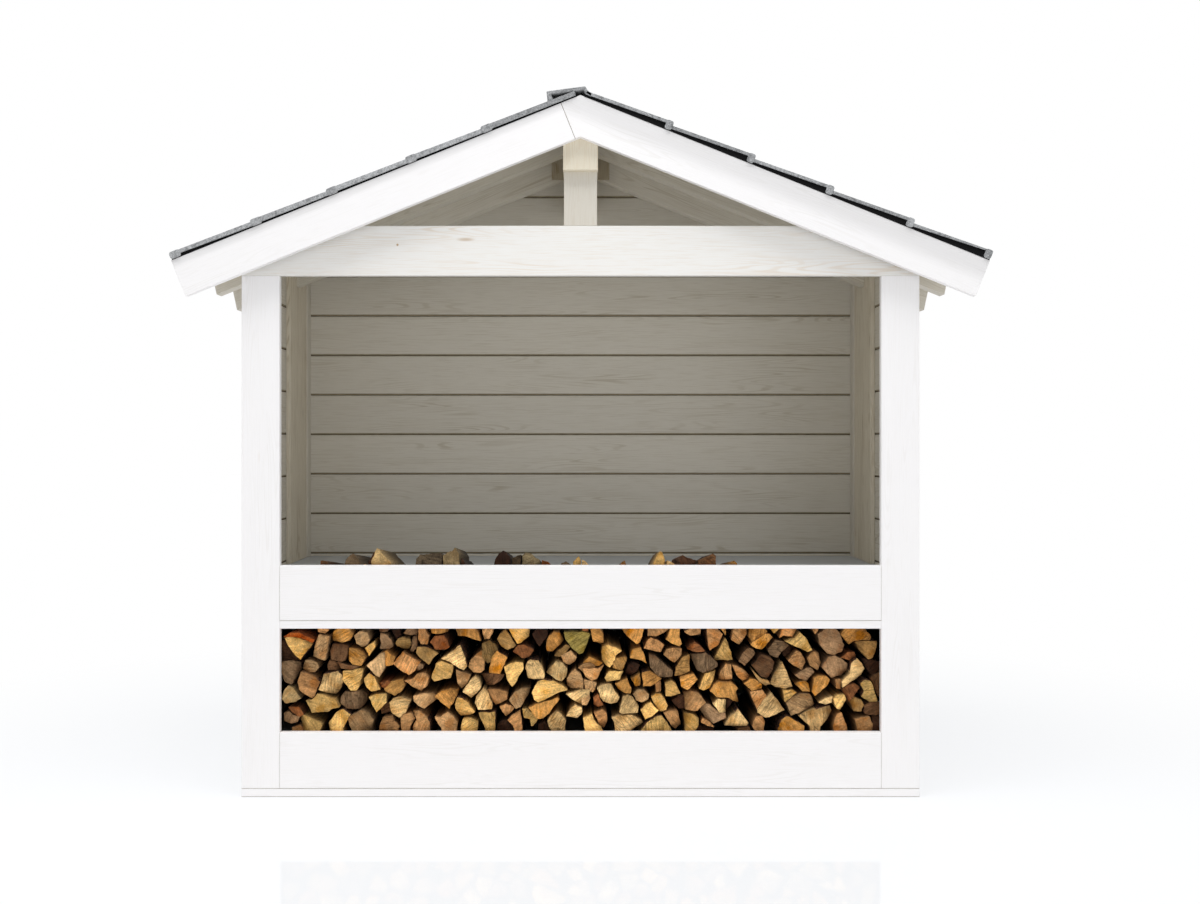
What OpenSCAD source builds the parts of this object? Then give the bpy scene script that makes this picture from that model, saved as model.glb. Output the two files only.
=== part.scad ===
// Log store: an open-fronted timber cabinet for firewood under a felt-shingled gable roof.
// Lengths are millimetres. The origin is on the ground at the middle of the plan,
// the open front faces -Y, +X is to the right and +Z is up.

/* [Cabinet] */
// Width over the two front corner trims
frame_w = 1600; // [1200:10:2200]
// Depth from the face of the front trims to the back of the rear boarding
frame_d = 660; // [450:10:900]
// Thickness of the bottom board that everything stands on
base_t = 20; // [16:1:30]
// Height of the kick board between the corner trims
kick_h = 132; // [80:1:200]
// Clear height of the lower bay, from kick board to shelf
lower_bay_h = 245; // [180:1:400]
// Height of the fascia in front of the shelf
fascia_h = 130; // [90:1:200]
// Clear height of the upper bay, from shelf fascia to collar board
upper_bay_h = 684; // [400:1:1000]
// Height of the collar board over the upper bay
collar_h = 118; // [80:1:180]
// How far the side walls rise above the head of the upper bay
wall_rise = 42.4; // [20:0.1:60]

/* [Boards] */
// Width of the front corner trims
trim_w = 90; // [70:1:120]
// Thickness of all front boards: trims, kick board, fascia, collar and king post
board_t = 20; // [16:1:28]
// Thickness of the board under the shelf box
shelf_board_t = 19; // [15:1:25]
// Thickness of the wall boarding
wall_t = 18; // [14:1:24]
// Width and depth of the square studs behind the front trims
stud_w = 45; // [35:1:60]
// Thickness of the upright lining in the rear corners
lining_t = 12; // [9:1:18]
// Width of the upright lining in the rear corners
lining_w = 250; // [100:1:300]
// Thickness of the floor and shelf panels
panel_t = 12; // [9:1:18]
// How far each panel lies below the top of the board in front of it
panel_drop = 33; // [20:1:50]
// Gap between the lining and the roof boards
lining_gap = 4; // [2:1:12]
// Gap between the ends of the ledgers in the rear corners
ledger_gap = 0.5; // [0.2:0.1:0.9]
// Width and height of the square ledgers under the panels
ledger_w = 25; // [18:1:35]

/* [Roof] */
// Slope of both roof sides in degrees
roof_pitch = 22; // [15:1:35]
// How far the roof boards reach past each side of the cabinet
eaves_overhang = 148; // [80:1:220]
// Depth of the gable and middle rafters, square to the slope
rafter_h = 31; // [24:1:50]
// Depth of the rear rafters, square to the slope
rear_rafter_h = 53; // [52:1:70]
// Distance of the middle rafters from the face of the front trims
middle_rafter_at = 285; // [200:5:330]
// Distance of the rear rafters from the face of the front trims
rear_rafter_at = 470; // [390:5:560]
// How far the tails of the middle and rear rafters lean inwards, in degrees from plumb
tail_lean = 12; // [0:1:22]
// How far these tails stop short of the roof boards
tail_setback = 4; // [0:1:30]
// Thickness of the middle and rear rafters
rafter_t = 45; // [30:1:60]
// Thickness of the rafters on the front and rear gables
verge_rafter_t = 20; // [16:1:30]
// Width of the ridge beam
ridge_w = 82; // [60:1:100]
// Height of the ridge beam
ridge_h = 103.4; // [70:0.1:120]
// Width of the king post under the end of the ridge beam
king_post_w = 78; // [60:1:100]
// Width of the plate that ties the rear rafters together over the beam
ridge_plate_w = 156; // [120:1:240]
// How far that plate reaches down beside the beam
ridge_plate_drop = 31; // [10:1:60]
// Thickness of the plate that ties the rear rafters together
ridge_plate_t = 12; // [9:1:18]
// Thickness of the roof boards
deck_t = 16; // [12:1:22]
// Width of the barge boards
barge_w = 90; // [80:1:120]
// Thickness of the barge boards
barge_t = 20; // [16:1:26]
// Distance of the butt joint between the barge boards from the peak, along the slope
barge_joint = 43; // [30:1:60]

/* [Shingles] */
// Visible length of one shingle course, along the slope
exposure = 196; // [100:1:250]
// Thickness of the covering at the butt of a course
butt_h = 17; // [12:1:22]
// Thickness of one shingle
shingle_t = 4; // [3:1:5]
// How far the shingles reach past the barge boards
shingle_drip = 4; // [2:1:15]
// Length of the ridge cap down each slope
cap_reach = 62; // [50:1:120]
// Thickness of the ridge cap
cap_t = 8; // [6:1:12]

/* [Firewood] */
// Length of the split logs
log_length = 330; // [200:5:450]
// Usual width of a split log
log_w = 62; // [45:1:90]
// Number of log layers in the lower bay
log_layers = 5; // [3:1:7]
// How far the logs on the shelf reach to the left of the middle
shelf_logs_left = 620; // [100:10:650]
// How far the logs on the shelf reach to the right of the middle
shelf_logs_right = 370; // [100:10:650]
// How far the log ends stay behind the kick board and the fascia
log_setback = 10; // [2:1:40]
// Gap between neighbouring logs
log_gap = 0.8; // [0.6:0.1:0.9]

/* [Hidden] */
FRONT = -frame_d / 2;
REAR = frame_d / 2;
HALF_W = frame_w / 2;
// Inner faces of the walls and of the boards behind the opening
SIDE_IN = HALF_W - wall_t;
REAR_IN = REAR - wall_t;
BEHIND_BOARDS = FRONT + board_t;
BAY_HALF = HALF_W - trim_w;
// Heights from the ground up
Z_LOWER = base_t + kick_h;
Z_SHELF = Z_LOWER + lower_bay_h;
Z_FASCIA = Z_SHELF + shelf_board_t;
Z_UPPER = Z_FASCIA + fascia_h;
Z_HEAD = Z_UPPER + upper_bay_h;
Z_COLLAR_TOP = Z_HEAD + collar_h;
Z_WALL = Z_HEAD + wall_rise;
Z_RAFTER = Z_WALL + HALF_W * tan(roof_pitch);
Z_DECK = Z_RAFTER + rafter_h / cos(roof_pitch);
Z_BEAM_TOP = Z_RAFTER - ridge_w / 2 * tan(roof_pitch);
Z_BEAM = Z_BEAM_TOP - ridge_h;
REAR_RAFTER = FRONT + rear_rafter_at;
X_TAIL = HALF_W + eaves_overhang - tail_setback;
// Length of the roof boards down the slope, and the ends of the roof along Y
SLOPE_LEN = (HALF_W + eaves_overhang) / cos(roof_pitch);
DECK_END = REAR + verge_rafter_t;
BARGE_END = DECK_END + barge_t;
ROOF_END = BARGE_END + shingle_drip;
// Shingle courses: the lower end of the lowest one, their number, and their depth over the
// roof boards where a course starts (thin) and at its butt (thick)
EAVES_END = SLOPE_LEN;
COURSES = floor(EAVES_END / exposure);
TOP_BUTT = EAVES_END - (COURSES - 1) * exposure;
THICK = deck_t + butt_h;
THIN = THICK - shingle_t;
// Pieces pass the middle of the roof by this when they are cut to its outline
FAR = 3000;
TRIM_WHITE = "#f4f3f1";
COLLAR_WHITE = "#efeeea";
CREAM = "#d8cfba";
WALL_GREY = "#b5ad9b";
PANEL_GREY = "#a9adb0";
SHINGLE_GREY = "#5b5d5f";
WOOD_TAN = "#b98a52";

// A box between two corners
module block(low, high) {
    translate(low) cube(high - low);
}

// A shape given in X and Z, from y0 to y1
module slice(y0, y1) {
    translate([0, y1, 0]) rotate([90, 0, 0]) linear_extrude(height = y1 - y0) children();
}

// The same piece on the left (side = -1) or on the right (side = 1)
module on_side(side) {
    mirror([side < 0 ? 1 : 0, 0, 0]) children();
}

// A point of the right roof side: u runs down the slope from the ridge, v stands square on
// the underside of the roof boards
function slope(u, v) = [u * cos(roof_pitch) + v * sin(roof_pitch),
                        Z_DECK - u * sin(roof_pitch) + v * cos(roof_pitch)];
// The point over the ridge line at height v above the underside of the roof boards
function peak(v) = [0, Z_DECK + v / cos(roof_pitch)];

// A layer of one roof side between v0 and v1: plumb at the ridge, square at the eaves
module roof_layer(v0, v1, length) {
    polygon([peak(v0), slope(length, v0), slope(length, v1), peak(v1)]);
}

module base_board() {
    color(TRIM_WHITE) block([-HALF_W, FRONT, 0], [HALF_W, REAR, base_t]);
}

module kick_board() {
    color(TRIM_WHITE) block([-BAY_HALF, FRONT, base_t], [BAY_HALF, BEHIND_BOARDS, Z_LOWER]);
}

// Space that the trims and studs take at the front corners, for what is notched around them
module front_corner_space() {
    for (side = [-1, 1]) on_side(side) {
        block([BAY_HALF, FRONT - 1, 0], [HALF_W, BEHIND_BOARDS, Z_HEAD]);
        block([SIDE_IN - stud_w, FRONT - 1, 0], [HALF_W, BEHIND_BOARDS + stud_w, Z_HEAD]);
    }
}

// Panel whose top is panel_drop below the top of the board in front of it
module panel(z_board_top) {
    z = z_board_top - panel_drop;
    difference() {
        block([-SIDE_IN, BEHIND_BOARDS, z - panel_t], [SIDE_IN, REAR_IN, z]);
        front_corner_space();
    }
}

// Ledgers under such a panel: behind the front board, on the rear wall and on the side walls
module ledgers(z_board_top) {
    top = z_board_top - panel_drop - panel_t;
    low = top - ledger_w;
    front_half = SIDE_IN - stud_w;
    block([-front_half, BEHIND_BOARDS, low], [front_half, BEHIND_BOARDS + ledger_w, top]);
    block([-SIDE_IN, REAR_IN - ledger_w, low], [SIDE_IN, REAR_IN, top]);
    for (side = [-1, 1]) on_side(side)
        block([SIDE_IN - ledger_w, BEHIND_BOARDS + stud_w, low],
              [SIDE_IN, REAR_IN - ledger_w - ledger_gap, top]);
}

module floor_ledgers() {
    color(WALL_GREY) ledgers(Z_LOWER);
}

module floor_panel() {
    color(PANEL_GREY) panel(Z_LOWER);
}

module front_trim(side) {
    color(TRIM_WHITE) on_side(side)
        block([BAY_HALF, FRONT, base_t], [HALF_W, BEHIND_BOARDS, Z_HEAD]);
}

module front_stud(side) {
    color(WALL_GREY) on_side(side)
        block([SIDE_IN - stud_w, BEHIND_BOARDS, base_t],
              [SIDE_IN, BEHIND_BOARDS + stud_w, Z_WALL]);
}

// Outline of a side wall, its head cut to the slope so that the rafters lie flat on it
module side_wall_outline() {
    z_inner = Z_WALL + wall_t * tan(roof_pitch);
    polygon([[SIDE_IN, base_t], [HALF_W, base_t], [HALF_W, Z_WALL], [SIDE_IN, z_inner]]);
}

module side_wall(side) {
    color(WALL_GREY) on_side(side) slice(BEHIND_BOARDS, REAR_IN) side_wall_outline();
}

// Outline of the ridge beam, drawn to the height z
module beam_outline(z) {
    translate([-ridge_w / 2, Z_BEAM]) square([ridge_w, z - Z_BEAM]);
}

// Rear wall up to the roof boards, notched for the ridge beam
module back_wall() {
    z_corner = Z_DECK - HALF_W * tan(roof_pitch);
    color(WALL_GREY) slice(REAR_IN, REAR) difference() {
        polygon([[-HALF_W, base_t], [HALF_W, base_t], [HALF_W, z_corner],
                 peak(0), [-HALF_W, z_corner]]);
        beam_outline(FAR);
    }
}

// Upright lining from the shelf panel to just under the roof boards, cut out round the
// rear rafter
module corner_lining(side) {
    z_top = Z_DECK - SIDE_IN * tan(roof_pitch) - lining_gap;
    color(WALL_GREY) on_side(side) difference() {
        block([SIDE_IN - lining_t, REAR_IN - lining_w, Z_UPPER - panel_drop],
              [SIDE_IN, REAR_IN, z_top]);
        slice(REAR_RAFTER, REAR_RAFTER + rafter_t)
            rafter_outline(rear_rafter_h, X_TAIL, tail_lean);
    }
}

module shelf_board() {
    color(TRIM_WHITE) difference() {
        block([-SIDE_IN, FRONT, Z_SHELF], [SIDE_IN, REAR_IN, Z_FASCIA]);
        front_corner_space();
    }
}

module shelf_fascia() {
    color(TRIM_WHITE) block([-BAY_HALF, FRONT, Z_FASCIA], [BAY_HALF, BEHIND_BOARDS, Z_UPPER]);
}

module shelf_ledgers() {
    color(WALL_GREY) ledgers(Z_UPPER);
}

module shelf_panel() {
    color(PANEL_GREY) panel(Z_UPPER);
}

// Collar board over the upper bay, its ends cut to the roof slope
module collar_board() {
    color(COLLAR_WHITE) slice(FRONT, BEHIND_BOARDS) intersection() {
        translate([-HALF_W, Z_HEAD]) square([frame_w, collar_h]);
        polygon([peak(0), slope(FAR, 0), [0, 0], [-slope(FAR, 0)[0], slope(FAR, 0)[1]]]);
    }
}

module king_post() {
    color(CREAM) block([-king_post_w / 2, FRONT, Z_COLLAR_TOP],
                       [king_post_w / 2, BEHIND_BOARDS, Z_BEAM]);
}

module ridge_beam() {
    color(CREAM) slice(-DECK_END, DECK_END) beam_outline(Z_BEAM_TOP);
}

// Plate on the face of the rear rafters, notched over the ridge beam
module ridge_plate() {
    half = ridge_plate_w / 2;
    z_low = Z_BEAM_TOP - ridge_plate_drop;
    z_side = Z_DECK - half * tan(roof_pitch);
    color(WALL_GREY) slice(REAR_RAFTER - ridge_plate_t, REAR_RAFTER) difference() {
        polygon([[-half, z_low], [half, z_low], [half, z_side], peak(0), [-half, z_side]]);
        beam_outline(Z_BEAM_TOP);
    }
}

// Outline of the right rafter: plumb at the ridge, its tail leaning inwards from x_top
module rafter_outline(depth, x_top, lean) {
    plumb = depth / cos(roof_pitch);
    x_low = x_top - plumb * tan(lean) / (1 + tan(lean) * tan(roof_pitch));
    polygon([[0, Z_DECK - plumb], [x_low, Z_DECK - plumb - x_low * tan(roof_pitch)],
             [x_top, Z_DECK - x_top * tan(roof_pitch)], peak(0)]);
}

// Rafter on a gable, cut square like the barge board in front of it
module verge_rafter(side, y0, y1) {
    color(WALL_GREY) on_side(side) slice(y0, y1)
        rafter_outline(rafter_h, HALF_W + eaves_overhang, roof_pitch);
}

module middle_rafter(side) {
    y0 = FRONT + middle_rafter_at;
    color(WALL_GREY) on_side(side) slice(y0, y0 + rafter_t)
        rafter_outline(rafter_h, X_TAIL, tail_lean);
}

// The deeper rear rafter is notched over the ridge beam and over the side wall
module rear_rafter(side) {
    color(WALL_GREY) on_side(side) slice(REAR_RAFTER, REAR_RAFTER + rafter_t) difference() {
        rafter_outline(rear_rafter_h, X_TAIL, tail_lean);
        beam_outline(Z_BEAM_TOP);
        side_wall_outline();
    }
}

module roof_deck(side) {
    color(WALL_GREY) on_side(side) slice(-DECK_END, DECK_END)
        roof_layer(0, deck_t, SLOPE_LEN);
}

// Barge board that carries the peak; the other one butts square against it
module barge_with_peak(side, y0, y1) {
    low = deck_t - barge_w;
    joint_top = slope(barge_joint, deck_t);
    joint_low = slope(barge_joint, low);
    color(TRIM_WHITE) on_side(side) slice(y0, y1)
        polygon([peak(deck_t), slope(SLOPE_LEN, deck_t), slope(SLOPE_LEN, low), peak(low),
                 [-joint_low[0], joint_low[1]], [-joint_top[0], joint_top[1]]]);
}

module barge_plain(side, y0, y1) {
    low = deck_t - barge_w;
    color(TRIM_WHITE) on_side(side) slice(y0, y1)
        polygon([slope(barge_joint, deck_t), slope(SLOPE_LEN, deck_t),
                 slope(SLOPE_LEN, low), slope(barge_joint, low)]);
}

// Courses of shingles: each lies tilted on the course below and ends in a butt
module shingles(side) {
    butts = [for (k = [0:COURSES - 1]) EAVES_END - k * exposure];
    steps = [for (u = butts) each [slope(u, THICK), slope(u - exposure, THIN)]];
    laid = [for (k = [0:len(steps) - 2]) steps[k]];
    color(SHINGLE_GREY) on_side(side) slice(-ROOF_END, ROOF_END)
        polygon(concat([peak(deck_t), slope(EAVES_END, deck_t)], laid, [peak(THIN)]));
}

// Bent strip of shingle over the ridge, lying on the top course of both sides
module ridge_cap() {
    plumb_run = THIN * tan(roof_pitch);
    rise = shingle_t * (cap_reach + plumb_run) / (TOP_BUTT + plumb_run);
    edge_low = slope(cap_reach, THIN + rise);
    edge_top = slope(cap_reach, THIN + rise + cap_t);
    color(SHINGLE_GREY) slice(-ROOF_END, ROOF_END)
        polygon([peak(THIN), edge_low, edge_top, peak(THIN + cap_t),
                 [-edge_top[0], edge_top[1]], [-edge_low[0], edge_low[1]]]);
}

// The lines that part a row of logs from x0 to x1, each as its place at mid-height and its
// lean: they lean left and right in turn, so that the ends of the logs are wedges and blocks
function parting(x0, x1, count, seed) =
    let (step = (x1 - x0) / count,
         lean = rands(0.24 * step, 0.84 * step, count + 1, seed),
         shift = rands(-0.14 * step, 0.14 * step, count + 1, seed + 50))
    [for (k = [0:count])
        let (edge = k == 0 || k == count)
        [x0 + k * step + (edge ? 0 : shift[k]), edge ? 0 : (k % 2 == 0 ? 1 : -1) * lean[k]]];

// Place of a parting line at the share t of the row's height
function line_at(line, t) = line[0] + (0.5 - t) * line[1];

// One row of split logs on height z0: the row is row_h high, and each log takes its share
module log_row(x0, x1, z0, row_h, shares, seed) {
    lines = parting(x0, x1, len(shares), seed);
    gap = log_gap / 2;
    for (k = [0:len(shares) - 1]) {
        top = z0 + shares[k] * row_h - gap;
        polygon([[line_at(lines[k], 0) + gap, z0 + gap],
                 [line_at(lines[k + 1], 0) - gap, z0 + gap],
                 [line_at(lines[k + 1], shares[k]) - gap, top],
                 [line_at(lines[k], shares[k]) + gap, top]]);
    }
}

module firewood_stack() {
    z0 = Z_LOWER - panel_drop;
    layer_h = (Z_SHELF - z0 - log_gap) / log_layers;
    half = SIDE_IN - stud_w;
    full = [for (log = [1:floor(2 * half / log_w)]) 1];
    y0 = BEHIND_BOARDS + log_setback;
    color(WOOD_TAN) slice(y0, y0 + log_length)
        for (k = [0:log_layers - 1])
            log_row(-half, half, z0 + k * layer_h, layer_h, full, 11 + k);
}

module firewood_on_shelf() {
    count = floor((shelf_logs_left + shelf_logs_right) / log_w);
    shares = rands(0.65, 1, count, 5);
    y0 = BEHIND_BOARDS + log_setback;
    color(WOOD_TAN) slice(y0, y0 + log_length)
        log_row(-shelf_logs_left, shelf_logs_right, Z_UPPER - panel_drop, 1.1 * log_w, shares, 31);
}

base_board();
kick_board();
floor_ledgers();
floor_panel();
front_trim(-1);  // front_trim_left
front_trim(1);  // front_trim_right
front_stud(-1);  // front_stud_left
front_stud(1);  // front_stud_right
side_wall(-1);  // side_wall_left
side_wall(1);  // side_wall_right
back_wall();
corner_lining(-1);  // corner_lining_left
corner_lining(1);  // corner_lining_right
shelf_board();
shelf_fascia();
shelf_ledgers();
shelf_panel();
collar_board();
king_post();
ridge_beam();
ridge_plate();
verge_rafter(-1, -DECK_END, FRONT);  // verge_rafter_front_left
verge_rafter(1, -DECK_END, FRONT);  // verge_rafter_front_right
middle_rafter(-1);  // middle_rafter_left
middle_rafter(1);  // middle_rafter_right
rear_rafter(-1);  // rear_rafter_left
rear_rafter(1);  // rear_rafter_right
verge_rafter(-1, REAR, DECK_END);  // verge_rafter_rear_left
verge_rafter(1, REAR, DECK_END);  // verge_rafter_rear_right
roof_deck(-1);  // roof_deck_left
roof_deck(1);  // roof_deck_right
barge_plain(-1, -BARGE_END, -DECK_END);  // barge_front_left
barge_with_peak(1, -BARGE_END, -DECK_END);  // barge_front_right
barge_plain(-1, DECK_END, BARGE_END);  // barge_rear_left
barge_with_peak(1, DECK_END, BARGE_END);  // barge_rear_right
shingles(-1);  // shingles_left
shingles(1);  // shingles_right
ridge_cap();
firewood_stack();
firewood_on_shelf();
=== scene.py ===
# %% [markdown]
# # An open log store under a shingled gable roof
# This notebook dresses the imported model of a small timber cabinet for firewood. The model
# gives every board its place and size. What is added here is what a carpenter and a few
# seasons of use would add: joints between the boards, arrises taken off with sandpaper,
# paint over grain, mineral granules on the shingles, and split logs with rings and bark.
#
# The first cell only fetches the tools and the frame. Everything is in metres, in the
# frame's own axes, so a size in millimetres is written as a number times MM.

# %% Tools and frame
import math
import random

import bmesh
import bpy
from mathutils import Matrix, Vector, noise


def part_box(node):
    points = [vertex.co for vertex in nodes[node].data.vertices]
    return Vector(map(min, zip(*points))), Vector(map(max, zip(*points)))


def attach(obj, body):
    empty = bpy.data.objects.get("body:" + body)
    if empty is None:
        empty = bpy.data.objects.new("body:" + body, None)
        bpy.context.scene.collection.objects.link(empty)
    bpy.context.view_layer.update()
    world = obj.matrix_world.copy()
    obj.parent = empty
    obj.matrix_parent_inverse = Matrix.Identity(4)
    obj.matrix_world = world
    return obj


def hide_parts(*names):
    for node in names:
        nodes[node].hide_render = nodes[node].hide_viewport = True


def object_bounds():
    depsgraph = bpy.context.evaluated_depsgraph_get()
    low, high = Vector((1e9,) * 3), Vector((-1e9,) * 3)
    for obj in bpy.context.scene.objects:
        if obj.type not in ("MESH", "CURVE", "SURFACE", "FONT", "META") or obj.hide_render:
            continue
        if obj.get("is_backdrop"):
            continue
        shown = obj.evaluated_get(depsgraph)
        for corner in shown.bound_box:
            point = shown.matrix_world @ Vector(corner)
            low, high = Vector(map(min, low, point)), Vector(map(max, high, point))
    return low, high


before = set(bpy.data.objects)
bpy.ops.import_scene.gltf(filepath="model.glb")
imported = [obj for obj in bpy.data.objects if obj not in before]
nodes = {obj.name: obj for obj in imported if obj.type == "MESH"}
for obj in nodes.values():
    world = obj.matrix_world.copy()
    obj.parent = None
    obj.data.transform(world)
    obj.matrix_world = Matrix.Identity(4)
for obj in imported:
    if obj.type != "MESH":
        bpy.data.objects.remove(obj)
cad_low, cad_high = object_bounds()
scene = bpy.context.scene
scene.view_settings.view_transform = "Standard"
MM = 0.001
print("nodes in the frame:", len(nodes))

# %% [markdown]
# ## Main measures
# All later pieces are laid out from the frame's boxes. The roof needs two more facts, its
# pitch and the thickness of its boards, which together with the box of a roof side give
# the height of the ridge line on the underside of the boards.

# %% Measures read from the frame
PITCH = math.radians(22)
COS, SIN, TAN = math.cos(PITCH), math.sin(PITCH), math.tan(PITCH)
DECK_T = 16 * MM
deck_low, deck_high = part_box("roof_deck_right")
RIDGE = deck_high.z - DECK_T / COS
SLOPE_LEN = (deck_high.x - DECK_T * SIN) / COS
front_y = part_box("front_trim_left")[0].y
wall_low, wall_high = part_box("back_wall")
side_low, side_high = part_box("side_wall_right")
print("ridge at", round(RIDGE, 4), "m, slope", round(SLOPE_LEN, 4), "m long")


# %% [markdown]
# ## Camera
# A log store of this kind is shown square from the front, from waist height and about
# three metres away, so that its uprights stay plumb. The lens is near a normal one. The
# small shift moves the picture on the sensor without tilting the camera, as a view camera
# would, which keeps the verticals parallel.

# %% Camera
camera = bpy.data.objects.new("camera", bpy.data.cameras.new("camera"))
scene.collection.objects.link(camera)
camera.location = (0, front_y - 3.123, 0.840)
camera.rotation_euler = (math.radians(90), 0, 0)
camera.data.sensor_width = 36
camera.data.lens = 39.7
camera.data.shift_x, camera.data.shift_y = 0.01625, -0.00917
scene.camera = camera
print("camera stands", round(-camera.location.y, 3), "m in front of the middle")

# %% [markdown]
# ## Light
# Three things light the store: a white sky from all round, given by the world, a wide soft
# lamp high up in front that shines down on the white sheet as much as on the store, and a
# weak wide lamp low in front on the right. Much of the light in the open bay then comes
# up from the sheet, so the bay is brightest high on its left and darkest low on its right.
#
# The world is seen as plain white by the camera and in reflections, through the light path
# switches, and shines less than that on the object. So the backdrop is white without any
# more light on the paint.


# %% Light
def add(tree, kind, inputs=None, **settings):
    """Adds one node. Each input is a value, or a socket of another node to link it to."""
    node = tree.nodes.new(kind)
    for key, value in settings.items():
        setattr(node, key, value)
    for key, value in (inputs or {}).items():
        if isinstance(value, bpy.types.NodeSocket):
            tree.links.new(value, node.inputs[key])
        else:
            node.inputs[key].default_value = value
    return node


def seen_directly(tree):
    """1 for a ray from the camera, or one that a mirror or clear thing sends on, else 0."""
    path = add(tree, "ShaderNodeLightPath")
    both = add(tree, "ShaderNodeMath", {0: path.outputs["Is Camera Ray"],
               1: path.outputs["Is Glossy Ray"]}, operation="MAXIMUM")
    return add(tree, "ShaderNodeMath", {0: both.outputs[0],
               1: path.outputs["Is Transmission Ray"]}, operation="MAXIMUM").outputs[0]


SKY_LEVEL = 0.58
world = bpy.data.worlds.new("white_room")
scene.world = world
world.use_nodes = True
sky = world.node_tree
sky.nodes.clear()
glow = add(sky, "ShaderNodeBackground", {"Color": (1.0, 1.0, 1.0, 1), "Strength": SKY_LEVEL})
white = add(sky, "ShaderNodeBackground", {"Color": (1.0, 1.0, 1.0, 1), "Strength": 1.0})
chosen = add(sky, "ShaderNodeMixShader", {0: seen_directly(sky), 1: glow.outputs[0],
             2: white.outputs[0]})
add(sky, "ShaderNodeOutputWorld", {0: chosen.outputs[0]})


def soft_lamp(name, place, aim, width, depth, watts):
    """A flat lamp of width by depth metres that shines from place towards aim."""
    data = bpy.data.lights.new(name, "AREA")
    data.shape, data.size, data.size_y, data.energy = "RECTANGLE", width, depth, watts
    lamp = bpy.data.objects.new(name, data)
    scene.collection.objects.link(lamp)
    lamp.location = place
    lamp.rotation_euler = (Vector(aim) - Vector(place)).to_track_quat("-Z", "Y").to_euler()
    print(name, watts, "W")


soft_lamp("high_lamp", (-0.3, -1.2, 4.3), (-0.3, -1.1, 0.0), 4.2, 2.0, 139)
soft_lamp("low_lamp", (2.4, -5.2, 1.0), (0.0, 0.0, 0.8), 2.4, 1.4, 15)


# %% [markdown]
# ## Floor
# The store stands on a white sheet that turns into the backdrop, so no edge of it shows.
# The sheet is white by its own colour for the rays that see it directly. Near the store it
# takes a part of its shade from the light, so that the store keeps its shadow, and a thin
# gloss gives a faint mirror image of the front.


# %% Colours and a plain shader
def colour(code):
    """A colour written as in a paint chart, #rrggbb, as the linear values nodes work with."""
    parts = [int(code[i:i + 2], 16) / 255 for i in (1, 3, 5)]
    return tuple(c / 12.92 if c <= 0.04045 else ((c + 0.055) / 1.055) ** 2.4
                 for c in parts) + (1.0,)


def new_material(name, **shader_inputs):
    """A material with one Principled shader, whose inputs are set by name."""
    material = bpy.data.materials.new(name)
    material.use_nodes = True
    shader = material.node_tree.nodes["Principled BSDF"]
    for key, value in shader_inputs.items():
        shader.inputs[key.replace("_", " ")].default_value = value
    return material, material.node_tree, shader


# %% Floor
# How much of the sheet's shade comes from the light, and how far from the store in metres
# that starts and ends to fade; and how much of the sheet is gloss
SHADE_SHARE, FADE_FROM, FADE_TO, GLOSS_SHARE = 0.30, 0.9, 2.6, 0.08
floor_mesh = bpy.data.meshes.new("floor")
half = 30.0
floor_mesh.from_pydata([(-half, -half, 0), (half, -half, 0), (half, half, 0), (-half, half, 0)],
                       [], [(0, 1, 2, 3)])
floor = bpy.data.objects.new("floor", floor_mesh)
scene.collection.objects.link(floor)
floor.location.z = cad_low.z - 0.5 * MM
floor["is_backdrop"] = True
sheet_white, tree, matt = new_material("white_backdrop_sheet", Roughness=0.9)
matt.inputs["Base Color"].default_value = (0.88, 0.88, 0.88, 1)
sheet_glow = add(tree, "ShaderNodeEmission", {"Color": (1, 1, 1, 1), "Strength": 1.0})
lit = add(tree, "ShaderNodeBsdfDiffuse", {"Color": (0.86, 0.90, 0.96, 1)})
gloss = add(tree, "ShaderNodeBsdfGlossy", {"Color": (1, 1, 1, 1), "Roughness": 0.03})
place = add(tree, "ShaderNodeTexCoord").outputs["Object"]
away = add(tree, "ShaderNodeVectorMath", {0: place}, operation="LENGTH").outputs["Value"]
share = add(tree, "ShaderNodeMapRange", {"Value": away, "From Min": FADE_FROM,
            "From Max": FADE_TO, "To Min": SHADE_SHARE, "To Max": 0.0},
            interpolation_type="SMOOTHSTEP")
shaded = add(tree, "ShaderNodeMixShader", {0: share.outputs[0], 1: sheet_glow.outputs[0],
             2: lit.outputs[0]})
glossed = add(tree, "ShaderNodeMixShader", {0: GLOSS_SHARE, 1: shaded.outputs[0],
              2: gloss.outputs[0]})
seen = add(tree, "ShaderNodeMixShader", {0: seen_directly(tree), 1: matt.outputs[0],
           2: glossed.outputs[0]})
tree.links.new(seen.outputs[0], tree.nodes["Material Output"].inputs["Surface"])
floor_mesh.materials.append(sheet_white)
print("floor", 2 * half, "m wide")


# %% [markdown]
# ## Painted and glazed spruce
# All the boards are planed spruce. Outside they carry white paint, inside a cream-white
# glaze, and both are thin enough for the wood to show: fine fibres, the flame figure of
# the year rings, and a knot here and there that yellows the coat.
#
# The figure is made in coordinates that are stretched along the fibres. A Mapping node of
# the texture kind divides by its scale, so the scale can be given as the real size of the
# figure: fibres 70 mm long and 1.8 mm wide, and slow noise over 760 x 44 mm that a sine
# cuts into ring lines. Every board is an island of its mesh, and a random number per
# island shifts the figure, so that no two boards share it.


# %% Spruce
ALONG_X, ALONG_Y, ALONG_Z = (0, 0, 0), (0, 0, 90), (0, -90, 0)
DOWN_RIGHT, DOWN_LEFT = (0, 22, 0), (0, -22, 0)
# The sine turns once for each 2 pi of this much noise: higher gives more ring lines
RING_LINES = 150.0


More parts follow.
